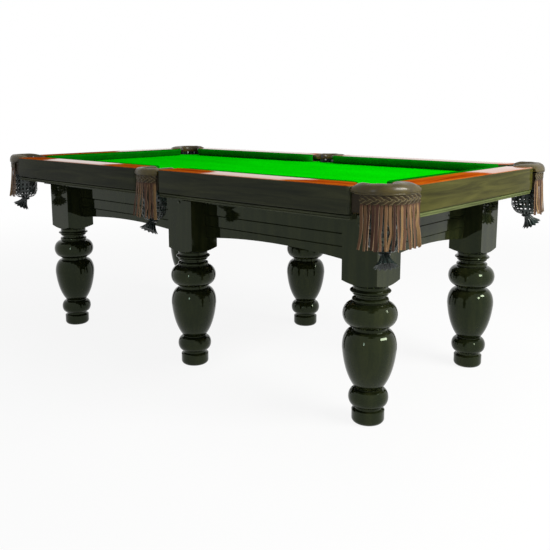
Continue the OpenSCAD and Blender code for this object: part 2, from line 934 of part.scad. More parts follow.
// A long apron in the far right bay
module long_apron() {
    bay = leg_x - block_w;
    color([0.16, 0.15, 0.1])
        difference() {
            run_x(block_half, leg_x - block_half, apron_y)
                apron_section();
            translate([leg_x / 2, apron_y, 0])
                arch_cutter(bay);
        }
}

// The right end apron
module end_apron() {
    bay = 2 * leg_y - block_w;
    color([0.16, 0.15, 0.1])
        difference() {
            run_y(block_half - leg_y, leg_y - block_half, apron_x)
                apron_section();
            translate([apron_x, 0, 0])
                rotate(90)
                    arch_cutter(bay);
        }
}

module long_beams()
    color("burlywood")
        difference() {
            for (sy = [-1, 1])
                side(sy)
                    translate([-leg_x - block_half, beam_y - beam_w / 2, frame_low])
                        cube([2 * leg_x + block_w, beam_w, beam_h]);
            at_leg_bolts()
                bolt_down_hole(leg_bolt_r, leg_bolt_l);
            at_screws()
                screw(slate_t + screw_l, shank_gap);
        }

module cross_beams()
    color("burlywood")
        difference() {
            union() {
                for (x = [-leg_x / 2, 0, leg_x / 2])
                    translate([x - cross_w / 2, beam_w / 2 - beam_y, frame_low])
                        cube([cross_w, 2 * beam_y - beam_w, beam_h]);
                for (s = [-1, 1])
                    translate([s * (leg_x + block_half - beam_w / 2) - beam_w / 2, beam_w / 2 - beam_y, frame_low])
                        cube([beam_w, 2 * beam_y - beam_w, beam_h]);
            }
            at_screws()
                screw(slate_t + screw_l, shank_gap);
        }

// Section of a frame board: outer edge on the right at zero, inner edge at -w, with a bead over a flat edge
module board_section(w) {
    r = board_t / 4;
    polygon(concat(
        [[-w, board_low], [-r / 2, board_low], [-r / 2, frame_low - 2 * r]],
        arc([-r, frame_low - r], r, -60, 90, 6),
        [[-w, frame_low]]
    ));
}

// The boards that lie on the legs and aprons and carry the beams
module frame_boards()
    color([0.16, 0.15, 0.1])
        difference() {
            union() {
                for (sy = [-1, 1])
                    side(sy)
                        run_x(-board_x, board_x, board_y)
                            board_section(board_y - board_y_in);
                for (sx = [-1, 1])
                    mirror([sx < 0 ? 1 : 0, 0, 0])
                        run_y(seat_gap - board_y_in, board_y_in - seat_gap, board_x)
                            board_section(board_x - board_x_in);
            }
            at_leg_bolts()
                bolt_down_hole(leg_bolt_r, leg_bolt_l);
        }

// Timber strips glued under the slate's edge, clear of the pockets
module slate_liners()
    color("burlywood")
        difference() {
            translate([0, 0, liner_low])
                linear_extrude(liner_t)
                    difference() {
                        bed_plan();
                        square([
                            2 * (half_l - fascia_t - slate_gap - liner_w),
                            2 * (half_w - fascia_t - slate_gap - liner_w)
                        ], center = true);
                    }
            at_rail_bolts()
                translate([0, 0, -past])
                    cylinder(r = bolt_r + shank_gap, h = bolt_l);
        }

module rail_bolts()
    color("silver") {
        at_rail_bolts()
            bolt_up(bolt_r, bolt_l);
        for (sx = [-1, 1], sy = [-1, 1])
            quarter(sx, sy) {
                at_long_cap_bolt()
                    bolt_up(bolt_r, long_cap_bolt_l);
                at_end_cap_bolt()
                    bolt_up(bolt_r, end_cap_bolt_l);
            }
        for (sy = [-1, 1])
            side(sy)
                at_middle_cap_bolts()
                    bolt_up(bolt_r, middle_cap_bolt_l);
    }

module leg_bolts()
    color("silver")
        at_leg_bolts()
            bolt_down(leg_bolt_r, leg_bolt_l);

module slate_screws()
    color("goldenrod")
        at_screws()
            screw(slate_t + screw_l - 2);

// A leg and its leveller stand at the same place
module at_leg(ix, sy)
    translate([ix * leg_x, sy * leg_y, 0])
        children();

slate_bed();
bed_cloth();
quarter(-1, -1) long_rail();  // rail_near_left
quarter(1, -1) long_rail();  // rail_near_right
quarter(-1, 1) long_rail();  // rail_far_left
quarter(1, 1) long_rail();  // rail_far_right
quarter(-1, 1) end_rail();  // rail_end_left
quarter(1, 1) end_rail();  // rail_end_right
quarter(-1, -1) long_cushion();  // cushion_near_left
quarter(1, -1) long_cushion();  // cushion_near_right
quarter(-1, 1) long_cushion();  // cushion_far_left
quarter(1, 1) long_cushion();  // cushion_far_right
quarter(-1, 1) end_cushion();  // cushion_end_left
quarter(1, 1) end_cushion();  // cushion_end_right
cushion_cloths();
rail_mouldings();
quarter(-1, -1) corner_cap();  // cap_near_left
side(-1) middle_cap();  // cap_near_middle
quarter(1, -1) corner_cap();  // cap_near_right
quarter(-1, 1) corner_cap();  // cap_far_left
side(1) middle_cap();  // cap_far_middle
quarter(1, 1) corner_cap();  // cap_far_right
quarter(-1, -1) corner_fringe();  // fringe_near_left
side(-1) middle_fringe();  // fringe_near_middle
quarter(1, -1) corner_fringe();  // fringe_near_right
quarter(-1, 1) corner_fringe();  // fringe_far_left
side(1) middle_fringe();  // fringe_far_middle
quarter(1, 1) corner_fringe();  // fringe_far_right
quarter(-1, -1) corner_basket();  // basket_near_left
side(-1) middle_basket();  // basket_near_middle
quarter(1, -1) corner_basket();  // basket_near_right
quarter(-1, 1) corner_basket();  // basket_far_left
side(1) middle_basket();  // basket_far_middle
quarter(1, 1) corner_basket();  // basket_far_right
at_leg(-1, -1) leg(leg_y - beam_y);  // leg_near_left
at_leg(0, -1) leg(leg_y - beam_y);  // leg_near_middle
at_leg(1, -1) leg(leg_y - beam_y);  // leg_near_right
at_leg(-1, 1) leg(beam_y - leg_y);  // leg_far_left
at_leg(0, 1) leg(beam_y - leg_y);  // leg_far_middle
at_leg(1, 1) leg(beam_y - leg_y);  // leg_far_right
quarter(-1, -1) long_apron();  // apron_near_left
quarter(1, -1) long_apron();  // apron_near_right
quarter(-1, 1) long_apron();  // apron_far_left
quarter(1, 1) long_apron();  // apron_far_right
quarter(-1, 1) end_apron();  // apron_end_left
quarter(1, 1) end_apron();  // apron_end_right
long_beams();
cross_beams();
frame_boards();
slate_liners();
at_leg(-1, -1) leveller();  // leveller_near_left
at_leg(0, -1) leveller();  // leveller_near_middle
at_leg(1, -1) leveller();  // leveller_near_right
at_leg(-1, 1) leveller();  // leveller_far_left
at_leg(0, 1) leveller();  // leveller_far_middle
at_leg(1, 1) leveller();  // leveller_far_right
leveller_inserts();
rail_bolts();
leg_bolts();
slate_screws();
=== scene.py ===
"""The looks of an English pool table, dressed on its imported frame.

X runs along the table, Y across it, Z up from the floor. Shapes are worked out in millimetres for the far
right quarter or the far side, mirrored to their own place, and put into their meshes in metres.
"""

import math

import bmesh
import bpy
import numpy as np
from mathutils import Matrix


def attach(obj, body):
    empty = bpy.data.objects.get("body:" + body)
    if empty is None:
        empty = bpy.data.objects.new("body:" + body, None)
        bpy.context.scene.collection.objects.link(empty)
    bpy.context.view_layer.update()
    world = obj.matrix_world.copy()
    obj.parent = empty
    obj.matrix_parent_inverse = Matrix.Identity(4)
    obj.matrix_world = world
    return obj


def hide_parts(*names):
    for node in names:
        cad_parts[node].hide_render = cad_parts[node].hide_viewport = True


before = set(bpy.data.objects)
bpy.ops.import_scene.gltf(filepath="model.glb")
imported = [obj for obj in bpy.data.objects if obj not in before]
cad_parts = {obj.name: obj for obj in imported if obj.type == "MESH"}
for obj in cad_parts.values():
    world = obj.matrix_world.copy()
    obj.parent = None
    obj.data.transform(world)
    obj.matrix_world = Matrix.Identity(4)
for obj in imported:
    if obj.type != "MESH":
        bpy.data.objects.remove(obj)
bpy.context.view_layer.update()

# Sizes of the table, in millimetres
HALF_L, HALF_W = 1065, 595
RAIL_TOP, BED_Z, SLATE_TOP = 820, 785, 784
RAIL_W, FASCIA_LOW, FASCIA_T, RAIL_ROUND, RAIL_END_ROUND = 98, 735, 22, 6, 13
RAIL_IN_X, RAIL_IN_Y = HALF_L - RAIL_W, HALF_W - RAIL_W
LONG_RAIL_END, END_RAIL_END, MIDDLE_GAP = HALF_L - 134, HALF_W - 166, 66
JAW_X, JAW_Y = HALF_L - 174, HALF_W - 174
TRIM_DEEP = 33
CUSHION_W, CORNER_JAW_R, MIDDLE_JAW_R = 50, 75, 48
POCKET_X, POCKET_Y, MIDDLE_Y = HALF_L - 80, HALF_W - 80, HALF_W - 52
CORNER_THROAT, MIDDLE_THROAT = 48, 43
# The bed's edge, what is cut from it round each pocket, and its tip beside a middle pocket
EDGE_X, EDGE_Y, CORNER_CUT, MIDDLE_CUT = HALF_L - 24, HALF_W - 24, 57, 52
MIDDLE_TIP = (MIDDLE_CUT - 1, EDGE_Y)
CAP_X, CAP_Y, CAP_R = HALF_L - 95, HALF_W - 108, 108
MIDDLE_CAP_R, MIDDLE_CAP_Y = 130, HALF_W + 18 - 130
CAP_LOW, BAND_LOW = 797, 768
LEG_X, LEG_Y, BLOCK_HALF, COVER_Z = 860, 364, 68.5, 678
# Play between pieces that meet
FIT = 0.3
# Each place's signs in X and Y
CORNERS = {"near_left": (-1, -1), "near_right": (1, -1), "far_left": (-1, 1), "far_right": (1, 1)}
MIDDLES = {"near_middle": (1, -1), "far_middle": (1, 1)}
POCKETS = {**CORNERS, **MIDDLES}
ENDS = {"end_left": (-1, 1), "end_right": (1, 1)}


# Mesh making

def unit(v):
    """Each vector divided by its own length."""
    return v / np.maximum(np.linalg.norm(v, axis=-1, keepdims=True), 1e-12)


def beside(v):
    """Each direction in a plane turned a quarter clockwise."""
    return np.stack([v[..., 1], -v[..., 0]], -1)


def rotated(a, b, angle):
    """Two coordinates turned by an angle from the first towards the second."""
    return a * math.cos(angle) - b * math.sin(angle), a * math.sin(angle) + b * math.cos(angle)


def lifted(plan, z=0.0):
    """Points or directions in plan with their third value."""
    return np.column_stack([plan, np.broadcast_to(z, len(plan))])


def arc(centre, radius, start, stop, count):
    """Points of a circle between two angles in degrees, or of an ellipse where radius is a pair."""
    turn = np.radians(np.linspace(start, stop, count))
    return centre + np.stack([np.cos(turn), np.sin(turn)], -1) * radius


def quads(n, m, loop_rows=False, loop_columns=True):
    """Quads over n rows of m numbered points; a looped direction joins its last line to its first."""
    i = np.arange(n if loop_rows else n - 1)[:, None]
    j = np.arange(m if loop_columns else m - 1)[None, :]
    up, on = (i + 1) % n, (j + 1) % m
    return np.stack([i * m + j, i * m + on, up * m + on, up * m + j], -1).reshape(-1, 4)


def volume(points, groups):
    """Six times the volume inside: the triple products of every face's corners, fanned from its first."""
    total = 0.0
    for group in groups:
        p = points[group]
        for k in range(1, group.shape[1] - 1):
            total += np.einsum("ij,ij->", p[:, 0], np.cross(p[:, k], p[:, k + 1]))
    return total


class Shell:
    """Solids gathered into one mesh, each turned so that its faces point outwards."""

    def __init__(self):
        self.points, self.groups, self.marks, self.total = [], [], {}, 0

    def add(self, points, groups, closed=True, **marks):
        """Adds one solid: its points, its faces in arrays of equal corner count, and each mark's values."""
        points = np.asarray(points, float).reshape(-1, 3)
        if closed and volume(points, groups) < 0:
            groups = [g[:, ::-1] for g in groups]
        self.points.append(points)
        self.groups += [g + self.total for g in groups]
        for key, value in marks.items():
            self.marks.setdefault(key, []).append(np.broadcast_to(value, (len(points),)))
        self.total += len(points)
        return self

    def loft(self, rings, ends="flat", loop=False, **marks):
        """A skin over n rings of m points. Its ends are one flat face each, or a fan round the middle;
        looped rings close on themselves."""
        n, m = rings.shape[:2]
        points, groups = rings.reshape(-1, 3), [quads(n, m, loop)]
        marks = {k: np.broadcast_to(v, (n, m)).reshape(-1) for k, v in marks.items()}
        j = np.arange(m)
        if not loop and ends == "flat":
            groups += [j[None, ::-1], (n - 1) * m + j[None]]
        elif not loop:
            points = np.vstack([points, rings[0].mean(0), rings[-1].mean(0)])
            on, last = (j + 1) % m, (n - 1) * m
            groups += [
                np.stack([on, j, np.full(m, n * m)], -1),
                np.stack([last + j, last + on, np.full(m, n * m + 1)], -1),
            ]
            marks = {k: np.append(v, [v[:m].mean(), v[-m:].mean()]) for k, v in marks.items()}
        return self.add(points, groups, **marks)

    def mirrored(self, sx, sy):
        """The same solids reflected in X where sx is -1 and in Y where sy is -1."""
        other = Shell()
        other.points = [p * (sx, sy, 1) for p in self.points]
        other.groups = [g[:, ::-1] for g in self.groups] if sx * sy < 0 else self.groups
        other.marks, other.total = self.marks, self.total
        return other


def new_object(name, data):
    """An object of the scene that shows a mesh, lamp or camera."""
    thing = bpy.data.objects.new(name, data)
    bpy.context.scene.collection.objects.link(thing)
    return thing


def mesh_piece(name, shell, finish, stands_for=(), body="table", sharp=38):
    """Puts a shell into a mesh in metres, smooth but for edges sharper than the given angle, and rides it on
    its body."""
    mesh = bpy.data.meshes.new(name)
    faces = [f for g in shell.groups for f in g.tolist()]
    mesh.from_pydata((np.vstack(shell.points) / 1000).tolist(), [], faces)
    for key, values in shell.marks.items():
        mark = mesh.attributes.new(key, "FLOAT", "POINT")
        mark.data.foreach_set("value", np.concatenate(values).astype(np.float32))
    mesh.polygons.foreach_set("use_smooth", [True] * len(mesh.polygons))
    mesh.set_sharp_from_angle(angle=math.radians(sharp))
    mesh.materials.append(finish)
    piece = new_object(name, mesh)
    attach(piece, body)
    if stands_for:
        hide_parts(*stands_for)
    return piece


# Node materials

def cleared(owner):
    """The empty node tree of a material or world."""
    owner.use_nodes = True
    owner.node_tree.nodes.clear()
    return owner.node_tree


def operator(operation, swapped=False):
    """A method of a wire that adds a Math node for it and another wire or a number."""
    def act(self, other=0.0):
        a, b = (other, self) if swapped else (self, other)
        return self.finish.add("Math", {"operation": operation}, {0: a, 1: b})
    return act


class Wire:
    """One shader socket. Arithmetic on it adds Math nodes."""

    def __init__(self, finish, socket):
        self.finish, self.socket = finish, socket

    __add__ = __radd__ = operator("ADD")
    __mul__ = __rmul__ = operator("MULTIPLY")
    __sub__, __rsub__ = operator("SUBTRACT"), operator("SUBTRACT", True)
    __abs__, sine = operator("ABSOLUTE"), operator("SINE")

    def between(self, low, high):
        """0 below low, 1 above high, and a smooth rise from one to the other."""
        values = {"Value": self, "From Min": low, "From Max": high}
        return self.finish.add("MapRange", {"interpolation_type": "SMOOTHSTEP"}, values)


class Finish:
    """A material whose nodes end in one Principled shader. Constants go straight onto its sockets."""

    def __init__(self, name, **constants):
        self.material = bpy.data.materials.new(name)
        self.tree = cleared(self.material)
        self.shader = self.tree.nodes.new("ShaderNodeBsdfPrincipled")
        output = self.tree.nodes.new("ShaderNodeOutputMaterial")
        self.tree.links.new(self.shader.outputs[0], output.inputs["Surface"])
        self.set(**constants)

    def add(self, kind, settings, values, output=0):
        """A node of the given kind, which is its type's name after ShaderNode: its settings first, then the
        numbers, colours or wires of its sockets."""
        node = self.tree.nodes.new("ShaderNode" + kind)
        for key, value in settings.items():
            if key == "stops":
                ramp = node.color_ramp
                while len(ramp.elements) < len(value):
                    ramp.elements.new(0.5)
                for element, (at, colour) in zip(ramp.elements, value):
                    element.position, element.color = at, (*colour, 1)
            else:
                setattr(node, key, value)
        for key, value in values.items():
            self.feed(node.inputs[key], value)
        return Wire(self, node.outputs[output])

    def feed(self, socket, value):
        """Links a wire to a socket, or sets its number or colour."""
        if isinstance(value, Wire):
            self.tree.links.new(value.socket, socket)
        elif hasattr(value, "__len__") and len(value) == 3 and socket.type == "RGBA":
            socket.default_value = (*value, 1)
        else:
            socket.default_value = value

    def set(self, **values):
        """Sockets of the Principled shader by name, with _ for a space."""
        for key, value in values.items():
            self.feed(self.shader.inputs[key.replace("_", " ")], value)

    def place(self, stretch=(1, 1, 1), turn=(0, 0, 0)):
        """Object coordinates, in metres, turned and stretched along each axis."""
        at = self.add("TexCoord", {}, {}, "Object")
        return self.add("Mapping", {}, {"Vector": at, "Rotation": turn, "Scale": stretch})

    def noise(self, at, scale, detail=3.0, rough=0.5, warp=0.0):
        """Soft clouds, mostly between 0.3 and 0.7."""
        values = {"Vector": at, "Scale": scale, "Detail": detail, "Roughness": rough, "Distortion": warp}
        return self.add("TexNoise", {}, values)

    def cells(self, at, scale):
        """How far each place is from the nearest edge between cells."""
        feature = {"feature": "DISTANCE_TO_EDGE"}
        return self.add("TexVoronoi", feature, {"Vector": at, "Scale": scale})

    def threads(self, degrees, scale=260.0):
        """Even straight bands, turned about Z."""
        at = self.place(turn=(0, 0, math.radians(degrees)))
        return self.add("TexWave", {}, {"Vector": at, "Scale": scale})

    def mark(self, name):
        """The values that a piece's own points hold under a name."""
        return self.add("Attribute", {"attribute_name": name}, {}, "Fac")

    def axis(self, at, name):
        """One coordinate, X, Y or Z."""
        return self.add("SeparateXYZ", {}, {"Vector": at}, name)

    def mix(self, share, a, b):
        """Colour a where share is 0 and colour b where it is 1."""
        return self.add("Mix", {"data_type": "RGBA"}, {"Factor": share, 6: a, 7: b}, 2)

    def ramp(self, share, *stops):
        """A run of colours, each stop a share and its colour."""
        return self.add("ValToRGB", {"stops": stops}, {"Fac": share})

    def bump(self, height, distance, strength=1.0):
        """Feeds a height, in units of the given distance in metres, to the shader's normal, and returns the
        finished material."""
        values = {"Height": height, "Distance": distance, "Strength": strength}
        self.set(Normal=self.add("Bump", {}, values))
        return self.material


def dark_lacquer():
    """Near-black gloss over stained timber: faint long streaks in the stain, a few dull patches and
    orange-peel in the gloss."""
    f = Finish("dark_lacquer", Specular_IOR_Level=0.24, Specular_Tint=(0.80, 0.96, 0.66), IOR=1.5)
    at = f.place()
    streak = f.noise(f.place((30, 30, 3)), 1.0, 4)
    cloud = f.noise(at, 5.0, 3)
    stain = streak.between(0.3, 0.8) * 0.4 + cloud * 0.4
    f.set(Base_Color=f.mix(stain, (0.002, 0.005, 0.002), (0.036, 0.039, 0.013)))
    f.set(Roughness=0.04 + cloud.between(0.4, 0.8) * 0.06)
    return f.bump(f.noise(at, 90.0, 2), 0.0004, 0.12)


def mahogany(name, stretch, way, rate, phase, dark, light):
    """Gloss lacquer: red-brown with long grain on a rail's top, olive-brown stain down its face. Along the
    top the gloss comes and goes as a sine of the run, its edges broken by a noise; it is fullest on the far
    side. Where it lies, the top's colour is also mixed towards straw: a painted reflection."""
    f = Finish(name, Specular_IOR_Level=0.0, Coat_Roughness=0.06)
    at = f.place()
    grain = f.noise(f.place(stretch), 1.0, 5, 0.6, 0.6)
    pores = f.noise(f.place([s * 4 for s in stretch]), 1.0, 2)
    top = f.ramp(
        grain * 0.75 + pores * 0.25, (0.30, (0.15, 0.015, 0.002)), (0.46, (0.38, 0.055, 0.003)),
        (0.60, (0.52, 0.120, 0.006)), (0.72, (0.24, 0.030, 0.002)),
    )
    face = f.mix(grain.between(0.1, 0.95), dark, light)
    upper = f.axis(at, "Z").between((RAIL_TOP - 3.5) / 1000, (RAIL_TOP - 0.2) / 1000)
    wave = (f.axis(at, way) * rate + phase).sine()
    broken = f.noise(f.place([max(2.5, s / 4) for s in stretch]), 1.0, 1) * 1.6 - 0.8
    sheen = (wave + broken + f.axis(at, "Y").between(0.40, 0.45) * 1.2).between(0.05, 0.35)
    # The top's colour goes towards straw where the sheen lies: a painted reflection, not a colour of the
    # wood.
    f.set(Base_Color=f.mix(upper, face, f.mix(sheen * 0.6, top, (0.52, 0.16, 0.012))))
    f.set(Coat_Weight=upper * sheen * 0.9 + (1 - upper) * 0.20)
    f.set(Roughness=0.25 + pores.between(0.3, 0.8) * 0.1)
    return f.bump(grain + pores * 0.5, 0.0003, 0.10)


def baize(name, stretch, detail, share, dark, light, twills):
    """Napped cloth: a fine twill in the height, slow patches where the nap lies over or is pulled and flecks
    in the dye."""
    f = Finish(name, Specular_IOR_Level=0.0, Roughness=0.95)
    nap, fleck = f.noise(f.place(stretch), 1.0, detail), f.noise(f.place(), 900.0, 2)
    f.set(Base_Color=f.mix(nap.between(0.3, 0.7) * share + fleck * (1 - share), dark, light))
    return f.bump(sum(f.threads(twill) * (1 / len(twills)) for twill in twills) + fleck, 0.0005, 0.35)


def leather(name, dark, light, grain_scale, rough, grain, coat, coat_rough):
    """Hide: pebbled cells in the height, worn patches of a lighter tone and a duller sheen in the
    hollows."""
    f = Finish(name, Specular_IOR_Level=0.10, Coat_Weight=coat, Coat_Roughness=coat_rough)
    at = f.place()
    cell = f.cells(at, grain_scale).between(0.0, 0.22)
    worn = f.noise(at, 14.0, 4, 0.6)
    f.set(Base_Color=f.mix(worn.between(0.35, 0.7) * 0.7 + cell * 0.3, dark, light))
    f.set(Roughness=rough + (1 - cell) * 0.2 + worn.between(0.5, 0.8) * 0.08)
    return f.bump(cell + f.noise(at, grain_scale * 2.2, 2) * 0.4, grain, 0.5)


def fringe_leather():
    """Split tan leather: each strap its own tint, pale raw edges, stretch marks down its length and painted
    shade darkening its root under the band."""
    f = Finish("fringe_leather", Specular_IOR_Level=0.15)
    tint, edge, down = f.mark("tint"), abs(f.mark("across")), f.mark("down")
    fibre = f.noise(f.place((260, 260, 26)), 1.0, 3)
    body = f.ramp(
        tint * 0.78 + fibre * 0.22, (0.1, (0.018, 0.008, 0.006)), (0.4, (0.070, 0.032, 0.018)),
        (0.65, (0.125, 0.064, 0.032)), (0.9, (0.22, 0.135, 0.055)),
    )
    worn = f.mix(edge.between(0.70, 0.98) * 0.75, body, (0.36, 0.24, 0.14))
    # The top tenth of each strap, just under the band, is darkened: painted shade.
    f.set(Base_Color=f.mix(1 - down.between(0.0, 0.10), worn, (0.05, 0.02, 0.012)))
    f.set(Roughness=0.42 + fibre * 0.25)
    return f.bump(fibre + f.cells(f.place(), 700.0) * 0.5, 0.0005, 0.5)


def braid_leather():
    """Plaited lacing: dark waxed leather, straw-coloured along the edges of each lace."""
    f = Finish("braid_leather", Specular_IOR_Level=0.12)
    edge, tint = abs(f.mark("across")), f.mark("tint")
    fibre = f.noise(f.place((200, 200, 200)), 1.0, 3)
    body = f.mix(tint * 0.5 + fibre * 0.5, (0.010, 0.008, 0.004), (0.060, 0.040, 0.018))
    f.set(Base_Color=f.mix(edge.between(0.6, 0.95) * 0.8, body, (0.22, 0.18, 0.09)))
    f.set(Roughness=0.3 + fibre * 0.2)
    return f.bump(fibre, 0.0004, 0.5)


def timber(name, stretch):
    """Sawn pale softwood: broad growth bands, fine fibre and darker knots' shadows, dull and rough."""
    f = Finish(name, Specular_IOR_Level=0.3)
    growth = f.noise(f.place(stretch), 1.0, 5, 0.55, 0.8)
    fibre = f.noise(f.place([s * 9 for s in stretch]), 1.0, 2)
    f.set(Base_Color=f.ramp(
        growth * 0.8 + fibre * 0.2, (0.30, (0.30, 0.17, 0.075)), (0.48, (0.46, 0.30, 0.15)),
        (0.62, (0.56, 0.40, 0.22)), (0.75, (0.38, 0.23, 0.11)),
    ))
    f.set(Roughness=0.6 + fibre * 0.2)
    return f.bump(growth + fibre * 0.6, 0.0008, 0.4)


def slate():
    """Honed slate: blue-grey with faint bedding streaks, small pits and a dusty sheen."""
    f = Finish("slate", Specular_IOR_Level=0.35)
    streak = f.noise(f.place((6, 14, 90)), 1.0, 5)
    pit = f.noise(f.place(), 400.0, 3)
    f.set(Base_Color=f.mix(streak.between(0.3, 0.7), (0.055, 0.062, 0.068), (0.14, 0.15, 0.155)))
    f.set(Roughness=0.5 + pit * 0.3)
    return f.bump(pit + streak, 0.0006, 0.4)


def rubber():
    """Moulded black rubber: fine blown pores and a dull bloom."""
    f = Finish("cushion_rubber", Specular_IOR_Level=0.3)
    at = f.place()
    bloom, pores = f.noise(at, 12.0, 3), f.noise(at, 1100.0, 2)
    f.set(Base_Color=f.mix(bloom, (0.012, 0.012, 0.012), (0.035, 0.034, 0.032)))
    f.set(Roughness=0.65 + bloom * 0.2)
    return f.bump(pores, 0.0004, 0.5)


def plated(name, dark, light, rough):
    """Plated metal: drawn lines from the lathe and cloudy spots in the plating."""
    f = Finish(name, Metallic=1.0)
    lines, cloud = f.noise(f.place((90, 90, 1400)), 1.0, 2), f.noise(f.place(), 60.0, 3)
    f.set(Base_Color=f.mix(cloud, dark, light), Roughness=rough + lines * 0.2)
    return f.bump(lines, 0.0002, 0.4)


LACQUER = dark_lacquer()
# Stretch of the grain, the axis of the run, and rate and phase of the sine along it that places the gloss and
# the painted reflection on the rail's top
LONG_GRAIN, END_GRAIN = ((3, 45, 45), "X", 6.16, -1.478), ((45, 3, 45), "Y", 5.2, -0.25)
# The end rails' faces are given a lighter, yellower olive than the long rails' of the same wood: painted
# light from the right.
RAIL_WOOD = {
    "x": mahogany("mahogany_long", *LONG_GRAIN, (0.012, 0.016, 0.010), (0.056, 0.060, 0.027)),
    "y": mahogany("mahogany_end", *END_GRAIN, (0.019, 0.018, 0.004), (0.094, 0.090, 0.020)),
}
# The beads' faces are lighter than the rails', and much lighter on the ends: a painted highlight along the
# beads.
BEAD_WOOD_PAINTED_HIGHLIGHT = {
    "x": mahogany("bead_long", *LONG_GRAIN, (0.020, 0.026, 0.015), (0.080, 0.088, 0.042)),
    "y": mahogany("bead_end", *END_GRAIN, (0.050, 0.060, 0.018), (0.170, 0.205, 0.075)),
}
BAIZE = baize("green_cloth", (3, 9, 9), 3, 0.6, (0.0006, 0.62, 0.0006), (0.001, 0.80, 0.001), (38, -52))
# The same cloth over the cushions, given a far darker green as painted shade
CUSHION_BAIZE_PAINTED_SHADE = baize(
    "cushion_cloth", (25, 25, 6), 2, 0.5, (0.001, 0.145, 0.003), (0.002, 0.215, 0.004), (45,)
)
CAP_LEATHER = leather(
    "cap_leather", (0.020, 0.013, 0.001), (0.074, 0.054, 0.006), grain_scale=420.0, rough=0.36,
    grain=0.0004, coat=0.46, coat_rough=0.27,
)
# Black leather whose two tones are tinted teal-green: a painted reflection of window light.
BASKET_LEATHER_PAINTED_TEAL = leather(
    "basket_leather", (0.003, 0.005, 0.004), (0.020, 0.038, 0.032), grain_scale=520.0, rough=0.24,
    grain=0.0005, coat=0.9, coat_rough=0.24,
)
STRAP_LEATHER, LACE_LEATHER = fringe_leather(), braid_leather()
TIMBER = {"x": timber("timber_long", (4, 30, 30)), "y": timber("timber_cross", (30, 4, 30))}
SLATE, RUBBER = slate(), rubber()
ZINC = plated("zinc_steel", (0.070, 0.071, 0.074), (0.140, 0.141, 0.146), 0.34)
BRASS = plated("brass", (0.50, 0.34, 0.13), (0.78, 0.58, 0.26), 0.2)

CAD_FINISH = {
    "leg_": LACQUER, "apron_": LACQUER, "frame_boards": LACQUER, "slate_bed": SLATE,
    "slate_liners": TIMBER["x"], "long_beams": TIMBER["x"], "cross_beams": TIMBER["y"], "leveller_": ZINC,
    "rail_bolts": ZINC, "leg_bolts": ZINC, "leveller_inserts": BRASS, "slate_screws": BRASS,
}
for node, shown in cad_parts.items():
    for start, finish in CAD_FINISH.items():
        if node.startswith(start):
            for material_slot in shown.material_slots:
                material_slot.material = finish


# Rails and mouldings

def bar(section, inward, starts, stops, radius):
    """A section of (outward distance, height) run from starts to stops, one length for each of its points.
    Each end is a quarter round: the points move along inward by radius times one less the cosine of an
    angle, while the run falls short by radius times one less its sine."""
    angle = np.radians(np.linspace(90, 0, 5))
    drop, back = radius * (1 - np.cos(angle)), radius * (1 - np.sin(angle))
    share = np.linspace(0, 1, 6)[1:-1, None]
    drops = np.concatenate([drop, np.zeros(len(share)), drop[::-1]])[:, None, None]
    middle = starts * (1 - share) + stops * share
    run = np.concatenate([starts + back[:, None], middle, stops - back[::-1, None]])
    return np.dstack([run, section + inward * drops])


def rail_section():
    """Outline of a rail from its inner bottom edge round to its inner top: flat under, a drop to the face
    board and a quarter round at the top arris."""
    board_in, chamfer = RAIL_W - FASCIA_T, 1.5
    low = [(0, BED_Z), (TRIM_DEEP, BED_Z), (board_in, BED_Z), (board_in, FASCIA_LOW),
           (RAIL_W - chamfer, FASCIA_LOW), (RAIL_W, FASCIA_LOW + chamfer)]
    arris = arc((RAIL_W - RAIL_ROUND, RAIL_TOP - RAIL_ROUND), RAIL_ROUND, 0, 90, 7)
    return np.concatenate([low, arris, [(TRIM_DEEP, RAIL_TOP), (0, RAIL_TOP)]])


def rail(trim_start, trim_stop, start, stop):
    """A rail whose inner corner is cut back by trim at either end, down to the depth of the pocket's way in.
    Its ends are rounded fully at the face board and by a third on the top 8 mm."""
    section = rail_section()
    out, height = section.T
    slope = np.clip(1 - out / TRIM_DEEP, 0, 1)
    board = np.clip((out - RAIL_W + FASCIA_T) / FASCIA_T, 0, 1)
    inward = np.stack([-board, -0.35 * np.clip((height - RAIL_TOP + 8) / 8, 0, 1)], -1)
    rings = bar(section, inward, start + trim_start * slope, stop - trim_stop * slope, RAIL_END_ROUND)
    n, m = rings.shape[:2]
    last = (n - 1) * m
    over, under = np.array([[0, 1, m - 2, m - 1]]), np.arange(1, m - 1)[None]
    return Shell().add(rings, [quads(n, m), over[:, ::-1], under[:, ::-1], last + over, last + under])


def laid(shell, way, inset=0):
    """Turns (run, outward distance, height) into places on the far side, or on the right end, from the inset
    inside the rail's inner edge outwards."""
    for p in shell.points:
        run, out = p[:, 0].copy(), p[:, 1] - inset
        p[:, 0], p[:, 1] = (run, RAIL_IN_Y + out) if way == "x" else (RAIL_IN_X + out, run)
    if way == "y":
        shell.groups = [g[:, ::-1] for g in shell.groups]
    return shell


def moulding_section():
    """Outline of the moulding under a rail: a flat back, a small bead, a bold bead above it and a deep quirk
    under the rail."""
    out, low = RAIL_W - 5, FASCIA_LOW - 17
    back, quirk = out - 38, out - 12
    small, bold = arc((out - 5, low + 3), 3, -90, 70, 8), arc((out - 4, low + 10.2), (4.8, 4.2), -70, 100, 11)
    return np.concatenate([
        [(back, FASCIA_LOW), (back, low)], small, bold, [(quirk, low + 14.6), (quirk, FASCIA_LOW)],
    ])


def moulding(start, stop):
    """The moulding's section run between two places, its outer 20 mm turned round at both ends."""
    section = moulding_section()
    out = section[:, 0]
    inward = np.stack([-np.clip((out - 70) / 20, 0, 1), np.zeros(len(out))], -1)
    return Shell().loft(bar(section, inward, np.full(len(out), start), np.full(len(out), stop), 9))


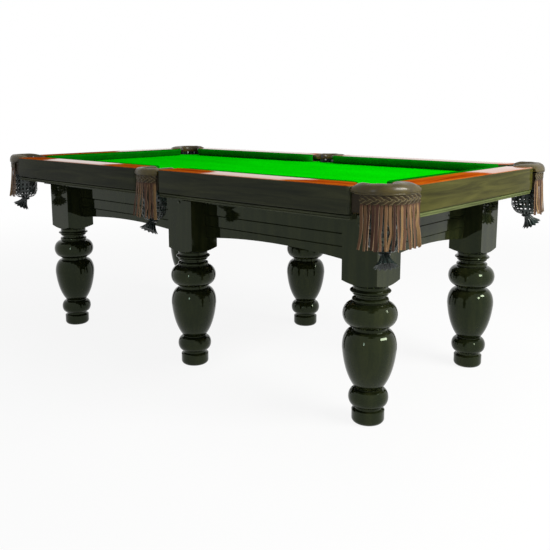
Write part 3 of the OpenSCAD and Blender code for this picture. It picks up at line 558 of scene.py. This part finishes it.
# Each kind of rail: its way, its places, the trim of its two ends, its start and stop, and its cushion's nose
RAILS = (
    ("x", CORNERS, (0, LONG_RAIL_END - JAW_X), (MIDDLE_GAP, LONG_RAIL_END),
     (MIDDLE_GAP, JAW_X, MIDDLE_JAW_R, CORNER_JAW_R)),
    ("y", ENDS, (END_RAIL_END - JAW_Y, END_RAIL_END - JAW_Y), (-END_RAIL_END, END_RAIL_END),
     (-JAW_Y, JAW_Y, CORNER_JAW_R, CORNER_JAW_R)),
)
for way, places, trims, ends, _ in RAILS:
    for name, (sx, sy) in places.items():
        timber_run = laid(rail(*trims, *ends), way).mirrored(sx, sy)
        mesh_piece("rail_timber_" + name, timber_run, RAIL_WOOD[way], ["rail_" + name])
        bead_run = laid(moulding(*ends), way).mirrored(sx, sy)
        mesh_piece("moulding_" + name, bead_run, BEAD_WOOD_PAINTED_HIGHLIGHT[way], ["rail_mouldings"])


# Cushions

def cushion_nose(start, stop, start_r, stop_r):
    """Plan of the nose from one pocket to the next: a quarter round or less, a straight run, and the same
    again, as run and distance from the straight nose."""
    parts = []
    for end, radius, way in ((start, start_r, 1), (stop, stop_r, -1)):
        limit = math.acos(max(0.0, (radius - CUSHION_W + FIT) / radius))
        turn = np.linspace(0, limit, 14)
        along, back = radius * np.sin(turn), radius * (1 - np.cos(turn))
        parts.append((end + way * (along[-1] - along), back))
    (x0, d0), (x1, d1) = parts
    straight = np.linspace(x0[0], x1[0], 14)[1:-1]
    return np.concatenate([x0[::-1], straight, x1]), np.concatenate([d0[::-1], np.zeros(len(straight)), d1])


def nose_section():
    """Half-open outline of the cushion's skin from the rail's top edge, over the nose and under it, as
    distance from the nose and height."""
    top = np.linspace((CUSHION_W, RAIL_TOP - 0.2), (9, RAIL_TOP - 1.5), 6)
    nose = arc((4.5, 813.6), (4.4, 4.6), 95, 205, 8)
    under = [(3.5, 808.2), (9, 802.4), (16, 794.9), (22.5, 788.1), (25, 786.3), (29, 785.5)]
    return np.concatenate([top, nose, under, [(CUSHION_W, 785.4)]])


def cushion(run, back, grow):
    """Sections across the rail at each run: the skin is drawn back with the nose by sharing out what depth
    is left, and grow moves it outwards."""
    section = nose_section()
    out = beside(unit(np.gradient(section, axis=0)))
    skin = section + grow * out * (section[:, :1] < CUSHION_W - 1)
    back = back[:, None]
    depth = back + (CUSHION_W - back) * np.clip(skin[:, 0] / CUSHION_W, -0.02, 1)
    return np.stack(np.broadcast_arrays(run[:, None], depth, skin[:, 1]), -1)


def cushion_pieces(name, run, back, way, sx, sy):
    """The rubber and its cloth for one rail. The cloth is a millimetre thick: the outer skin and, the other
    way round, the inner one."""
    outer = cushion(run, back, 0)
    skins = np.concatenate([outer, cushion(run, back, -0.9)[:, ::-1]], axis=1)
    shells = [Shell().loft(rings) for rings in (cushion(run, back, -1.1), skins)]
    rubber_shell, cloth_shell = (laid(shell, way, CUSHION_W).mirrored(sx, sy) for shell in shells)
    bar_piece = mesh_piece("rubber_" + name, rubber_shell, RUBBER, ["cushion_" + name])
    cloth = mesh_piece(
        "cushion_cover_" + name, cloth_shell, CUSHION_BAIZE_PAINTED_SHADE, ["cushion_cloths"], sharp=50
    )


for way, places, _, _, nose in RAILS:
    for name, signs in places.items():
        cushion_pieces(name, *cushion_nose(*nose), way, *signs)


# Bed cloth

def bed_outline():
    """Edge of the bed from the middle of the right end round to the middle of the far side, with for each
    point its foot on the spine along the table's middle."""
    def line(a, b, fa, fb, n):
        """n points from a up to b, with their feet from fa up to fb."""
        return np.linspace(a, b, n, endpoint=False), np.linspace(fa, fb, n, endpoint=False)

    cut = arc((POCKET_X, POCKET_Y), CORNER_CUT, -45, -225, 31)
    corner, low, high = cut[:-1], cut[0], cut[-1]
    low_out, high_out = (EDGE_X, low[1] + EDGE_X - low[0]), (high[0] + EDGE_Y - high[1], EDGE_Y)
    rows = [
        line((EDGE_X, 0), low_out, 760, 560, 16),
        line(low_out, low, 560, 550, 4),
        (corner, corner[:, 0] - corner[:, 1]),
        line(high, high_out, 390, 380, 4),
        line(high_out, MIDDLE_TIP, 380, 62, 24),
        line(MIDDLE_TIP, (MIDDLE_CUT, MIDDLE_Y), 62, 54, 4),
        (arc((0, MIDDLE_Y), MIDDLE_CUT, 0, -90, 14), np.linspace(54, 0, 14)),
    ]
    edges, feet = zip(*rows)
    return np.concatenate(edges), np.concatenate(feet)


def bed_cloth():
    """Baize over the slate: rows from the spine out to the edge, a small round over the slate's arris and a
    hem turned down, which runs out towards the tips beside the pockets. The quarter is reflected to the
    whole."""
    edge, foot = bed_outline()
    out = beside(unit(np.gradient(edge, axis=0)))
    out[0], out[-1] = (1, 0), (0, 1)
    spine = np.stack([foot, np.zeros(len(foot))], -1)
    inner, reach = unit(spine - edge), np.linalg.norm(spine - edge, axis=-1, keepdims=True)
    tips = np.array([(EDGE_X, POCKET_Y - 23.2), (POCKET_X - 24.6, EDGE_Y), MIDDLE_TIP])
    hem = np.clip(np.linalg.norm(edge[:, None] - tips, axis=-1).min(1) / 34 - 0.25, 0, 1)
    rows = [(edge + out * 0.95, SLATE_TOP - 1.2 - drop * hem) for drop in (15.8, 7.8, 0)]
    rows += [(edge + out * 0.6, BED_Z - 0.5), (edge + out * 0.1, BED_Z - 0.12)]
    rows += [(edge + inner * d, BED_Z) for d in (1.2, 4, 12, 30)]
    rows += [(edge + inner * (30 + (reach - 30) * f), BED_Z) for f in (0.2, 0.4, 0.6, 0.8)]
    sheet = np.stack([lifted(p, z) for p, z in [*rows, (spine, BED_Z)]])
    shell, faces = Shell(), quads(*sheet.shape[:2], False, False)
    for sx in (-1, 1):
        for sy in (-1, 1):
            shell.add(sheet * (sx, sy, 1), [faces[:, ::sx * sy]], closed=False)
    return shell


cloth = mesh_piece("bed_baize", bed_cloth(), BAIZE, ["bed_cloth"], sharp=60)
# The points doubled on the lines of symmetry are merged, and the faces turned upwards
work = bmesh.new()
work.from_mesh(cloth.data)
bmesh.ops.remove_doubles(work, verts=work.verts, dist=1e-5)
bmesh.ops.recalc_face_normals(work, faces=work.faces)
if sum(f.normal.z * f.calc_area() for f in work.faces) < 0:
    bmesh.ops.reverse_faces(work, faces=work.faces)
work.to_mesh(cloth.data)
work.free()
wall = cloth.modifiers.new("cloth thickness", "SOLIDIFY")
wall.thickness, wall.offset = 0.0009, -1


# Leather caps

def pad_section(width):
    """Outline of a stuffed cap across its width: a seam and a lip outside, a bun-like quarter ellipse up to
    the crown, and a roll down into the throat inside. Under 58 mm its sides are squeezed by as much."""
    squeeze = (min(1.0, width / 58), 1)
    seam = [(4, CAP_LOW), (1.2, 797.3), (0.2, 798.6), (0.3, 800.6), (1.5, 801.6)]
    outer = np.concatenate([seam, arc((27, 803), (27, 25.6), 180, 102, 9)]) * squeeze
    roll = [(13, 828.4), (7.5, 826.6), (3.6, 823), (1.2, 817.5), (0, 811), (0, 801), (1.2, 797.8)]
    inner = (width, 0) + np.array([*roll, (4, CAP_LOW)]) * squeeze * (-1, 1)
    share = np.array([0.15, 0.35, 0.55, 0.78])
    across = outer[-1, 0] + (inner[0, 0] - outer[-1, 0]) * share
    crown = np.stack([across, 828.2 + 1.8 * np.sin(np.pi * (0.12 + 0.8 * share))], -1)
    return np.concatenate([outer, crown, inner])


def cap(outer, inner, rng, tall, taper):
    """A pad between an outer and an inner line in plan, its section set across from one to the other at each
    pair of points. Over the length taper its two ends close to a tip, the top more than the lip, as a
    quarter ellipse does, and slow ripples of under a millimetre run over the crown. Its height is the
    section's times tall."""
    length = np.concatenate([[0], np.cumsum(np.linalg.norm(np.diff(outer, axis=0), axis=-1))])
    near_end = np.minimum(length, length[-1] - length)
    close = 1 - np.sqrt(1 - (1 - np.clip(near_end / taper, 0, 1)) ** 2)
    ripple = sum(
        rng.uniform(0.15, 0.4) * np.sin(length / rng.uniform(6, 16) + rng.uniform(0, 6)) for _ in range(4)
    )
    rings = []
    for o, i, shut, wave in zip(outer, inner, close, ripple):
        width = np.linalg.norm(i - o)
        across, height = pad_section(width).T
        high = np.clip((height - 800) / 28, 0, 1)
        z = CAP_LOW + (height - CAP_LOW) * tall + high * wave * 0.6
        z += (1 - high) * 8 * shut - high * 14 * shut * tall
        across = across + 5 * shut * (1 - across / width)
        rings.append(lifted(o + np.outer(across, (i - o) / width), z))
    return Shell().loft(np.stack(rings))


def thick_ends(rows, step):
    """The rows of a plan line with more points close to each end."""
    a, b = rows[0], rows[-1]
    step = np.array(step)[:, None]
    first, last = a + unit(rows[1] - a) * step, b + unit(rows[-2] - b) * step
    return np.concatenate([[a], first, rows[1:-1], last[::-1], [b]])


def corner_cap_lines():
    """Outer line: along the long side, a quarter round and down the end. Inner line: up the throat's side,
    half round it and back down."""
    x, y, side = LONG_RAIL_END + FIT, END_RAIL_END + FIT, CORNER_THROAT * math.sqrt(2)
    front = arc((CAP_X, CAP_Y), CAP_R, 90, 0, 25)
    throat = arc((POCKET_X, POCKET_Y), CORNER_THROAT, 135, -45, 25)
    lines = []
    for start, middle, stop, step in (
        ((x, CAP_Y + CAP_R), front, (CAP_X + CAP_R, y), (0.8, 2, 4)),
        ((x, x - POCKET_X + POCKET_Y + side), throat, (y - POCKET_Y + POCKET_X + side, y), (0.7, 1.8, 3.6)),
    ):
        first, last = np.linspace(start, middle[0], 5)[:-1], np.linspace(middle[-1], stop, 8)[1:]
        lines.append(thick_ends(np.concatenate([first, middle, last]), step))
    return lines


def middle_cap_lines():
    """Outer line: out along one rail end, round the front and back in. Inner line: the throat's straight
    sides and half round."""
    x = MIDDLE_GAP - FIT
    limit = math.degrees(math.asin(x / MIDDLE_CAP_R))
    front = arc((0, MIDDLE_CAP_Y), MIDDLE_CAP_R, 90 + limit, 90 - limit, 19)
    throat = arc((0, MIDDLE_Y), MIDDLE_THROAT, 180, 0, 27)
    lines = []
    for edge, middle, count in ((-x, front, 9), (-MIDDLE_THROAT, throat, 5)):
        side = np.linspace((edge, RAIL_IN_Y), middle[0], count)[:-1]
        lines.append(thick_ends(np.concatenate([side, middle, side[::-1] * (-1, 1)]), (0.8, 2, 4)))
    return lines


for seed, (name, (sx, sy)) in enumerate(POCKETS.items()):
    lines, form = (corner_cap_lines(), (1.0, 46)) if name in CORNERS else (middle_cap_lines(), (0.78, 20))
    stuffed = cap(*lines, np.random.default_rng(seed), *form).mirrored(sx, sy)
    pad = mesh_piece("pad_" + name, stuffed, CAP_LEATHER, ["cap_" + name])


# Fringes

def both_faces(half):
    """A strap's whole outline from its inner face, whose reflection is the outer one."""
    return np.concatenate([half, np.multiply(half, (1, -1))[::-1]])


FLAT = both_faces([(-1, -0.4), (-0.86, -1), (-0.45, -1), (0, -1), (0.45, -1), (0.86, -1), (1, -0.4)])
LACE = both_faces([(-1, -0.3), (-0.6, -0.9), (0, -1), (0.6, -0.9), (1, -0.3)])


def strap(shell, path, out, width, thick, outline=LACE, belly=0.0, **marks):
    """A strap along a path: its outline lies across the way and outwards at each point, bowed by belly times
    the square of the share across."""
    along = unit(np.gradient(path, axis=0))
    side = unit(np.cross(along, out))
    out = np.cross(side, along)
    across, up = outline.T
    shape = len(path), len(across)
    width, belly = (np.broadcast_to(v, len(path))[:, None] for v in (width, belly))
    aside, lift = across * width / 2, up * thick / 2 - belly * across ** 2
    rings = path[:, None] + side[:, None] * aside[..., None] + out[:, None] * lift[..., None]
    marks = {k: np.broadcast_to(np.reshape(v, (-1, 1)), shape) for k, v in marks.items()}
    return shell.loft(rings, across=np.broadcast_to(across, shape), **marks)


def plait(way, length):
    """A flat plait of three laces, over a backing with a bead along either edge. Each lace weaves up and
    down as the sine of its run and in and out as the sine of twice that, a third of a turn apart."""
    shell = Shell()
    s = np.linspace(0.4, length - 0.4, int(length / 2.2))
    foot, out = way(s)
    for k in range(3):
        phase = 2 * math.pi * (s / 66 + k / 3)
        depth = -1.9 + 1.25 * np.sin(2 * phase[:, None])
        path = lifted(foot + out * depth, (BAND_LOW + CAP_LOW) / 2 + 8.2 * np.sin(phase))
        strap(shell, path, lifted(out), 10.5, 2.0, tint=0.3 + 0.3 * k)
    foot, out = way(np.linspace(0, length, int(length / 4)))
    for low, high, depth, thick in (
        (BAND_LOW + 0.4, CAP_LOW - 0.2, -4.3, 1.2), (BAND_LOW, BAND_LOW + 3.2, -2.6, 3.0),
        (CAP_LOW - 3.4, CAP_LOW - 0.2, -2.6, 3.0),
    ):
        strap(shell, lifted(foot + out * depth, (low + high) / 2), lifted(out), high - low, thick, tint=0.1)
    return shell


def skirt(shell, way, start, stop, first, last):
    """The plain hide behind a fringe, from one rail's end to the other's: a wall along the band's way, 7.5
    mm inside it, with a short return down each rail's end. In the lace leather's darkest tone, it is a dark
    sheet that stands in for the shade in the gap."""
    foot, out = way(np.linspace(start, stop, 40))
    plan = np.concatenate([[first], foot - out * 7.5, [last]])
    side = 0.8 * beside(unit(np.gradient(plan, axis=0)))
    top, low = CAP_LOW - FIT, BAND_LOW - 26
    corners = (side, top), (side, low), (-side, low), (-side, top)
    # Tint 0 gives the lace leather's darkest tone: painted shade behind the fringe.
    return shell.loft(np.stack([lifted(plan + across, z) for across, z in corners], 1), across=0.0, tint=0.0)


def strips(way, length, count, rng):
    """Hanging straps: each falls from the band with its own lean, a slow bend, a turn about its length and,
    for some, an elbow. They spread to both sides and outwards with the square of the fall, and end a little
    short."""
    shell = Shell()
    pitch = length / count
    t = np.linspace(0, 1, 26)
    for i in range(count):
        lean, bend, turn = rng.normal(0, 3.2), rng.normal(0, 4.0), rng.normal(0, 0.55)
        elbow = rng.choice([0, 0, 1]) * rng.normal(0, 8.0)
        at = rng.uniform(0.45, 0.7)
        fall = 140 - 5 * abs(math.sin(math.radians(i * 67))) - rng.uniform(0, 4)
        spread = (9 if count < 12 else 1) * (2 * (i + 0.5) / count - 1)
        sway = lean * t + bend * np.sin(math.pi * t * rng.uniform(0.8, 1.5)) * t
        sway += elbow * np.exp(-((t - at) / 0.13) ** 2)
        foot, out = way((i + 0.5) * pitch + np.clip(sway, -pitch, pitch) + spread * t ** 2)
        layer = (1.5 if i % 2 else -1.5) * np.minimum(1, t * 5)
        depth = -2.4 + layer + (9 + rng.normal(0, 2.6)) * t ** 2 + 1.4 * np.sin(t * rng.uniform(2, 5)) * t
        angle = turn * t[:, None] ** 1.3
        facing = out * np.cos(angle) - beside(out) * np.sin(angle)
        width = rng.uniform(7.6, 11.8) * (1 - 0.18 * np.sin(math.pi * t * 1.3 + i) * t)
        path = lifted(foot + out * depth[:, None], BAND_LOW + 4 - fall * t)
        belly = rng.uniform(-1.2, 1.6) * np.sqrt(t)
        strap(shell, path, lifted(facing), width, 2.2, FLAT, belly, tint=rng.uniform(0, 1), down=t)
    return shell


def fringe_line(corner):
    """The band's plan and its length. The plan is a function that walks a straight run, an arc and a
    straight run, and gives the place and the outward direction at each distance."""
    if corner:
        centre, radius, start, sweep, first, last = (CAP_X, CAP_Y), CAP_R - 4, 0.0, math.pi / 2, 56, 5
    else:
        centre, radius, start, sweep = (0, MIDDLE_CAP_Y), MIDDLE_CAP_R - 4, math.radians(62), math.radians(56)
        first = last = 0

    def way(s):
        past = s - first
        angle = start + np.clip(past / radius, 0, sweep)
        straight = np.minimum(past, 0) + np.maximum(past - radius * sweep, 0)
        out = np.stack([np.cos(angle), np.sin(angle)], -1)
        return centre + out * radius - beside(out) * straight[:, None], out
    return way, first + last + radius * sweep


for seed, (name, (sx, sy)) in enumerate(POCKETS.items()):
    corner = name in CORNERS
    way, length = fringe_line(corner)
    band = plait(way, length)
    if corner:
        skirt(band, way, 1, length + 31, (1038, END_RAIL_END + 1.2), (LONG_RAIL_END + 1.2, 560))
    else:
        skirt(band, way, -4.5, length + 4.5, (MIDDLE_GAP - 1.2, 572), (1.2 - MIDDLE_GAP, 572))
    mesh_piece("plait_" + name, band.mirrored(sx, sy), LACE_LEATHER, ["fringe_" + name])
    hung = strips(way, length, 18 if corner else 10, np.random.default_rng(40 + seed)).mirrored(sx, sy)
    mesh_piece("strips_" + name, hung, STRAP_LEATHER, ["fringe_" + name])


# Drop baskets

CUP_TOP, CUP_LOW, KNOT_Z, NECK_R = 762, 662, 626, 13
CUP_OUT, NECK_OUT, NECK_ASIDE = 10, 10, 14
UPRIGHTS, HOOPS, WEAVE, LAST_HOOP = 18, 6, 1.15, 17
PLEATS, TAIL_LEAN = 13, math.radians(30)


def cup_radius(radius, share):
    """The cup's radius under its straight part: the neck's where share is 0 and its own where it is 1."""
    return NECK_R + (radius - NECK_R) * share ** 0.7


def cup_wall(radius):
    """Radius and height of the cup's middle surface from rim to neck: straight down, then in to the neck by
    a power of a cosine."""
    turn = np.radians(np.linspace(0, 90, 19))[1:]
    r = np.concatenate([np.full(22, radius), cup_radius(radius, np.maximum(np.cos(turn), 0))])
    return r, np.concatenate([np.linspace(CUP_TOP, CUP_LOW, 22), CUP_LOW - (CUP_LOW - KNOT_Z) * np.sin(turn)])


def basket(radius, aside):
    """A lattice cup of upright straps and hoops that pass over and under each other, a wound neck, and a
    pleated tail that flares and leans outwards. The straps' offset is a cosine along their fall and the
    hoops' the opposite cosine round the cup, so that they alternate at each crossing. The lower cup is drawn
    outwards and aside by a power of its share of the way down, so that the neck hangs off the cup's
    middle."""
    shell = Shell()
    wall_r, wall_z = cup_wall(radius)
    step = (CUP_TOP - CUP_LOW) / (HOOPS - 1)
    for k in range(UPRIGHTS):
        angle = 2 * math.pi * (k + 0.5) / UPRIGHTS
        spoke = np.array([math.cos(angle), math.sin(angle)])
        r, z = wall_r, wall_z
        if spoke[1] > -0.2:
            top = np.linspace(CAP_LOW - FIT, CUP_TOP + 3, 8)
            r, z = np.concatenate([np.full(8, radius), r]), np.concatenate([top, z])
        normal = -beside(unit(np.gradient(np.stack([r, z], -1), axis=0)))
        weave = -WEAVE * np.cos(math.pi * ((CUP_TOP - z) / step + k)) * np.clip((z - KNOT_Z - 6) / 30, 0, 1)
        r, z = r + normal[:, 0] * weave, z + normal[:, 1] * weave
        width = 13.0 - 6.0 * np.clip((CUP_TOP - z) / 110, 0, 1)
        room = 0.93 * 2 * math.pi * np.maximum(r, 5) / UPRIGHTS
        out = lifted(spoke * normal[:, :1], normal[:, 1])
        strap(shell, lifted(spoke * r[:, None], z), out, np.minimum(width, room), 2.0)
    turn = np.linspace(0, 2 * math.pi, UPRIGHTS * 6, endpoint=False)
    out = lifted(np.stack([np.cos(turn), np.sin(turn)], -1))
    for j in range(HOOPS + 1):
        height, base, wave = CUP_TOP - step * j, radius, WEAVE
        if j == HOOPS:
            share = math.cos(math.asin(LAST_HOOP / (CUP_LOW - KNOT_Z)))
            height, base, wave = CUP_LOW - LAST_HOOP, cup_radius(radius, share), WEAVE * 0.6
        ring_r = base + wave * np.cos(UPRIGHTS / 2 * turn + math.pi * j + math.pi / 2)
        path = out * ring_r[:, None] + (0, 0, height)
        hoop(shell, path, out, 14.0 - 1.2 * j if j else 9.0, 2.0 if j else 4.2)
    neck(shell)
    tail(shell)
    for p in shell.points:
        low = np.clip((CUP_TOP - 20 - p[:, 2]) / (CUP_TOP - 20 - KNOT_Z), 0, 1)
        p[:, 1] += CUP_OUT * np.clip((CUP_TOP + 4 - p[:, 2]) / 22, 0, 1) + NECK_OUT * low ** 1.6
        p[:, 0] += aside * low ** 1.6
    return shell


def hoop(shell, path, out, width, thick):
    """A closed band round the cup: the lace's outline stood upright at each point of a ring."""
    across, up = LACE.T[..., None]
    rings = path[:, None] + (0, 0, 1) * across * width / 2 + out[:, None] * up * thick / 2
    return shell.loft(rings, loop=True, across=np.broadcast_to(LACE[:, 0], rings.shape[:2]))


def turned(shell, outline, count, **marks):
    """A solid turned about Z from its outline of radius and height."""
    angle = np.linspace(0, 2 * math.pi, count, endpoint=False)
    spokes = lifted(np.stack([np.cos(angle), np.sin(angle)], -1))
    return shell.loft(np.stack([spokes * r + (0, 0, z) for r, z in outline]), "round", **marks)


def neck(shell):
    """The lacing round the neck: three half-round turns stacked on a core."""
    turns = [arc((r, KNOT_Z + 8 - 7.6 * k), (3.6, 3.8), 90, -90, 7) for k, r in enumerate((14.2, 15.4, 14.4))]
    return turned(shell, np.concatenate([[(4, KNOT_Z + 13)], *turns, [(4, KNOT_Z - 16)]]), 36, across=0.0)


def tail(shell):
    """A flared skirt: its radius grows with the square of the way down, and pleats ride on it as a cosine
    that deepens towards a wavy hem; the whole leans outwards."""
    t = np.linspace(0, 1, 16)[:, None]
    angle = np.linspace(0, 2 * math.pi, PLEATS * 8, endpoint=False)
    fold = np.cos(PLEATS * angle)
    r = 13.5 + 5 * t + 15.5 * t ** 2 + (0.7 + 3.4 * t) * fold
    z = -13 - 34 * t - 1.6 * t * fold
    r, z = np.concatenate([r, r[::-1] - 1.8]), np.concatenate([z, z[::-1]])
    y, z = rotated(r * np.sin(angle), z, TAIL_LEAN)
    points = np.stack([r * np.cos(angle), y, z + KNOT_Z], -1)
    return shell.add(points, [quads(*r.shape, True)], across=0.0)


for name, (sx, sy) in POCKETS.items():
    if name in CORNERS:
        shell, turn, centre = basket(CORNER_THROAT + 2.5, NECK_ASIDE), math.radians(-45), (POCKET_X, POCKET_Y)
    else:
        shell, turn, centre = basket(MIDDLE_THROAT + 2.5, 0), 0.0, (0, MIDDLE_Y)
    for p in shell.points:
        p[:, :2] = np.stack(rotated(p[:, 0], p[:, 1], turn), -1) + centre
    cup = shell.mirrored(sx, sy)
    mesh_piece("lattice_" + name, cup, BASKET_LEATHER_PAINTED_TEAL, ["basket_" + name], sharp=50)


# Screw covers on the leg blocks: low domes, flat under, with a small step and a quarter ellipse to the top

outline = np.concatenate([[(7.5, -0.5), (7.5, 0.7)], arc((0, 0.9), (6.3, 2.2), 0, 90, 8)[:-1]])
dome, covers = turned(Shell(), outline, 28), Shell()
for x in (-LEG_X, 0, LEG_X):
    for sy in (-1, 1):
        place = (x, sy * (LEG_Y + BLOCK_HALF), COVER_Z)
        covers.add(dome.points[0][:, [0, 2, 1]] * (1, sy, 1) + place, dome.groups)
mesh_piece("screw_covers", covers, LACQUER)


# Floor, light and camera

def light_path(tree):
    """1 for rays from the camera and those mirrored or let through by a surface, 0 for the rest."""
    path = tree.nodes.new("ShaderNodeLightPath").outputs
    total = path["Is Camera Ray"]
    for name in ("Is Glossy Ray", "Is Transmission Ray"):
        more = tree.nodes.new("ShaderNodeMath")
        more.operation, more.use_clamp = "ADD", True
        tree.links.new(total, more.inputs[0])
        tree.links.new(path[name], more.inputs[1])
        total = more.outputs[0]
    return total


def mixed(tree, share, first, second, output):
    """Two shaders linked to the output, the second showing by the share."""
    a, b, mix, end = [tree.nodes.new("ShaderNode" + kind) for kind in (first, second, "MixShader", output)]
    tree.links.new(share, mix.inputs[0])
    tree.links.new(a.outputs[0], mix.inputs[1])
    tree.links.new(b.outputs[0], mix.inputs[2])
    tree.links.new(mix.outputs[0], end.inputs["Surface"])
    return a, b


def pale_floor():
    """A pale floor that keeps a soft shadow under the table and is plain white towards its far edge."""
    material = bpy.data.materials.new("studio_floor")
    tree = cleared(material)
    kinds = "TexCoord", "VectorMath", "MapRange", "Math"
    place, far, reach, share = [tree.nodes.new("ShaderNode" + kind) for kind in kinds]
    far.operation, reach.interpolation_type, share.operation = "LENGTH", "SMOOTHSTEP", "MULTIPLY"
    for socket, value in {"From Min": 1.5, "From Max": 5.0, "To Min": 0.90, "To Max": 1.0}.items():
        reach.inputs[socket].default_value = value
    tree.links.new(place.outputs["Object"], far.inputs[0])
    tree.links.new(far.outputs["Value"], reach.inputs["Value"])
    tree.links.new(light_path(tree), share.inputs[0])
    tree.links.new(reach.outputs["Result"], share.inputs[1])
    diffuse, _ = mixed(tree, share.outputs[0], "BsdfDiffuse", "Emission", "OutputMaterial")
    diffuse.inputs["Color"].default_value = (0.88, 0.88, 0.88, 1)
    mesh = bpy.data.meshes.new("studio_floor")
    mesh.from_pydata([(-30, -30, 0), (30, -30, 0), (30, 30, 0), (-30, 30, 0)], [], [(0, 1, 2, 3)])
    mesh.materials.append(material)
    floor = new_object("studio_floor", mesh)


def white_room(ambient):
    """White where the camera or a gloss looks, and a dim even grey as light."""
    world = bpy.data.worlds.new("studio")
    tree = cleared(world)
    dim, white = mixed(tree, light_path(tree), "Background", "Background", "OutputWorld")
    dim.inputs["Color"].default_value = (ambient, ambient, ambient, 1)
    white.inputs["Color"].default_value = (1, 1, 1, 1)
    bpy.context.scene.world = world


def lamp(name, at, to, size, power, colour):
    """A rectangular lamp at one place that faces another."""
    light = bpy.data.lights.new(name, "AREA")
    light.shape, light.energy, light.color = "RECTANGLE", power, colour
    light.size, light.size_y = size
    thing = new_object(name, light)
    thing.location = at
    way = np.array(to, float) - at
    down = math.acos(-way[2] / np.linalg.norm(way))
    thing.rotation_euler = (down, 0, math.atan2(way[1], way[0]) - math.pi / 2)


pale_floor()
white_room(0.22)
lamp("overhead", (0.2, 0.3, 3.6), (0, 0, 0.8), (2.4, 1.6), 22, (1, 1, 1))
lamp("right_key", (3.9, 0.5, 2.5), (0.4, 0, 0.6), (2.6, 0.6), 180, (1, 1, 0.96))
lamp("window", (1.5, -4.0, 1.7), (0.2, -0.3, 0.5), (0.16, 0.6), 9, (0.75, 0.86, 1))

camera = bpy.data.cameras.new("camera")
camera.lens, camera.sensor_width, camera.shift_y = 46.68, 36, -0.0818
viewer = new_object("camera", camera)
viewer.location = (2.1264, -2.2748, 1.0351)
viewer.rotation_euler = (math.radians(90 - 9.535), 0, math.radians(41.383))
bpy.context.scene.camera = viewer
bpy.context.scene.view_settings.view_transform = "Standard"
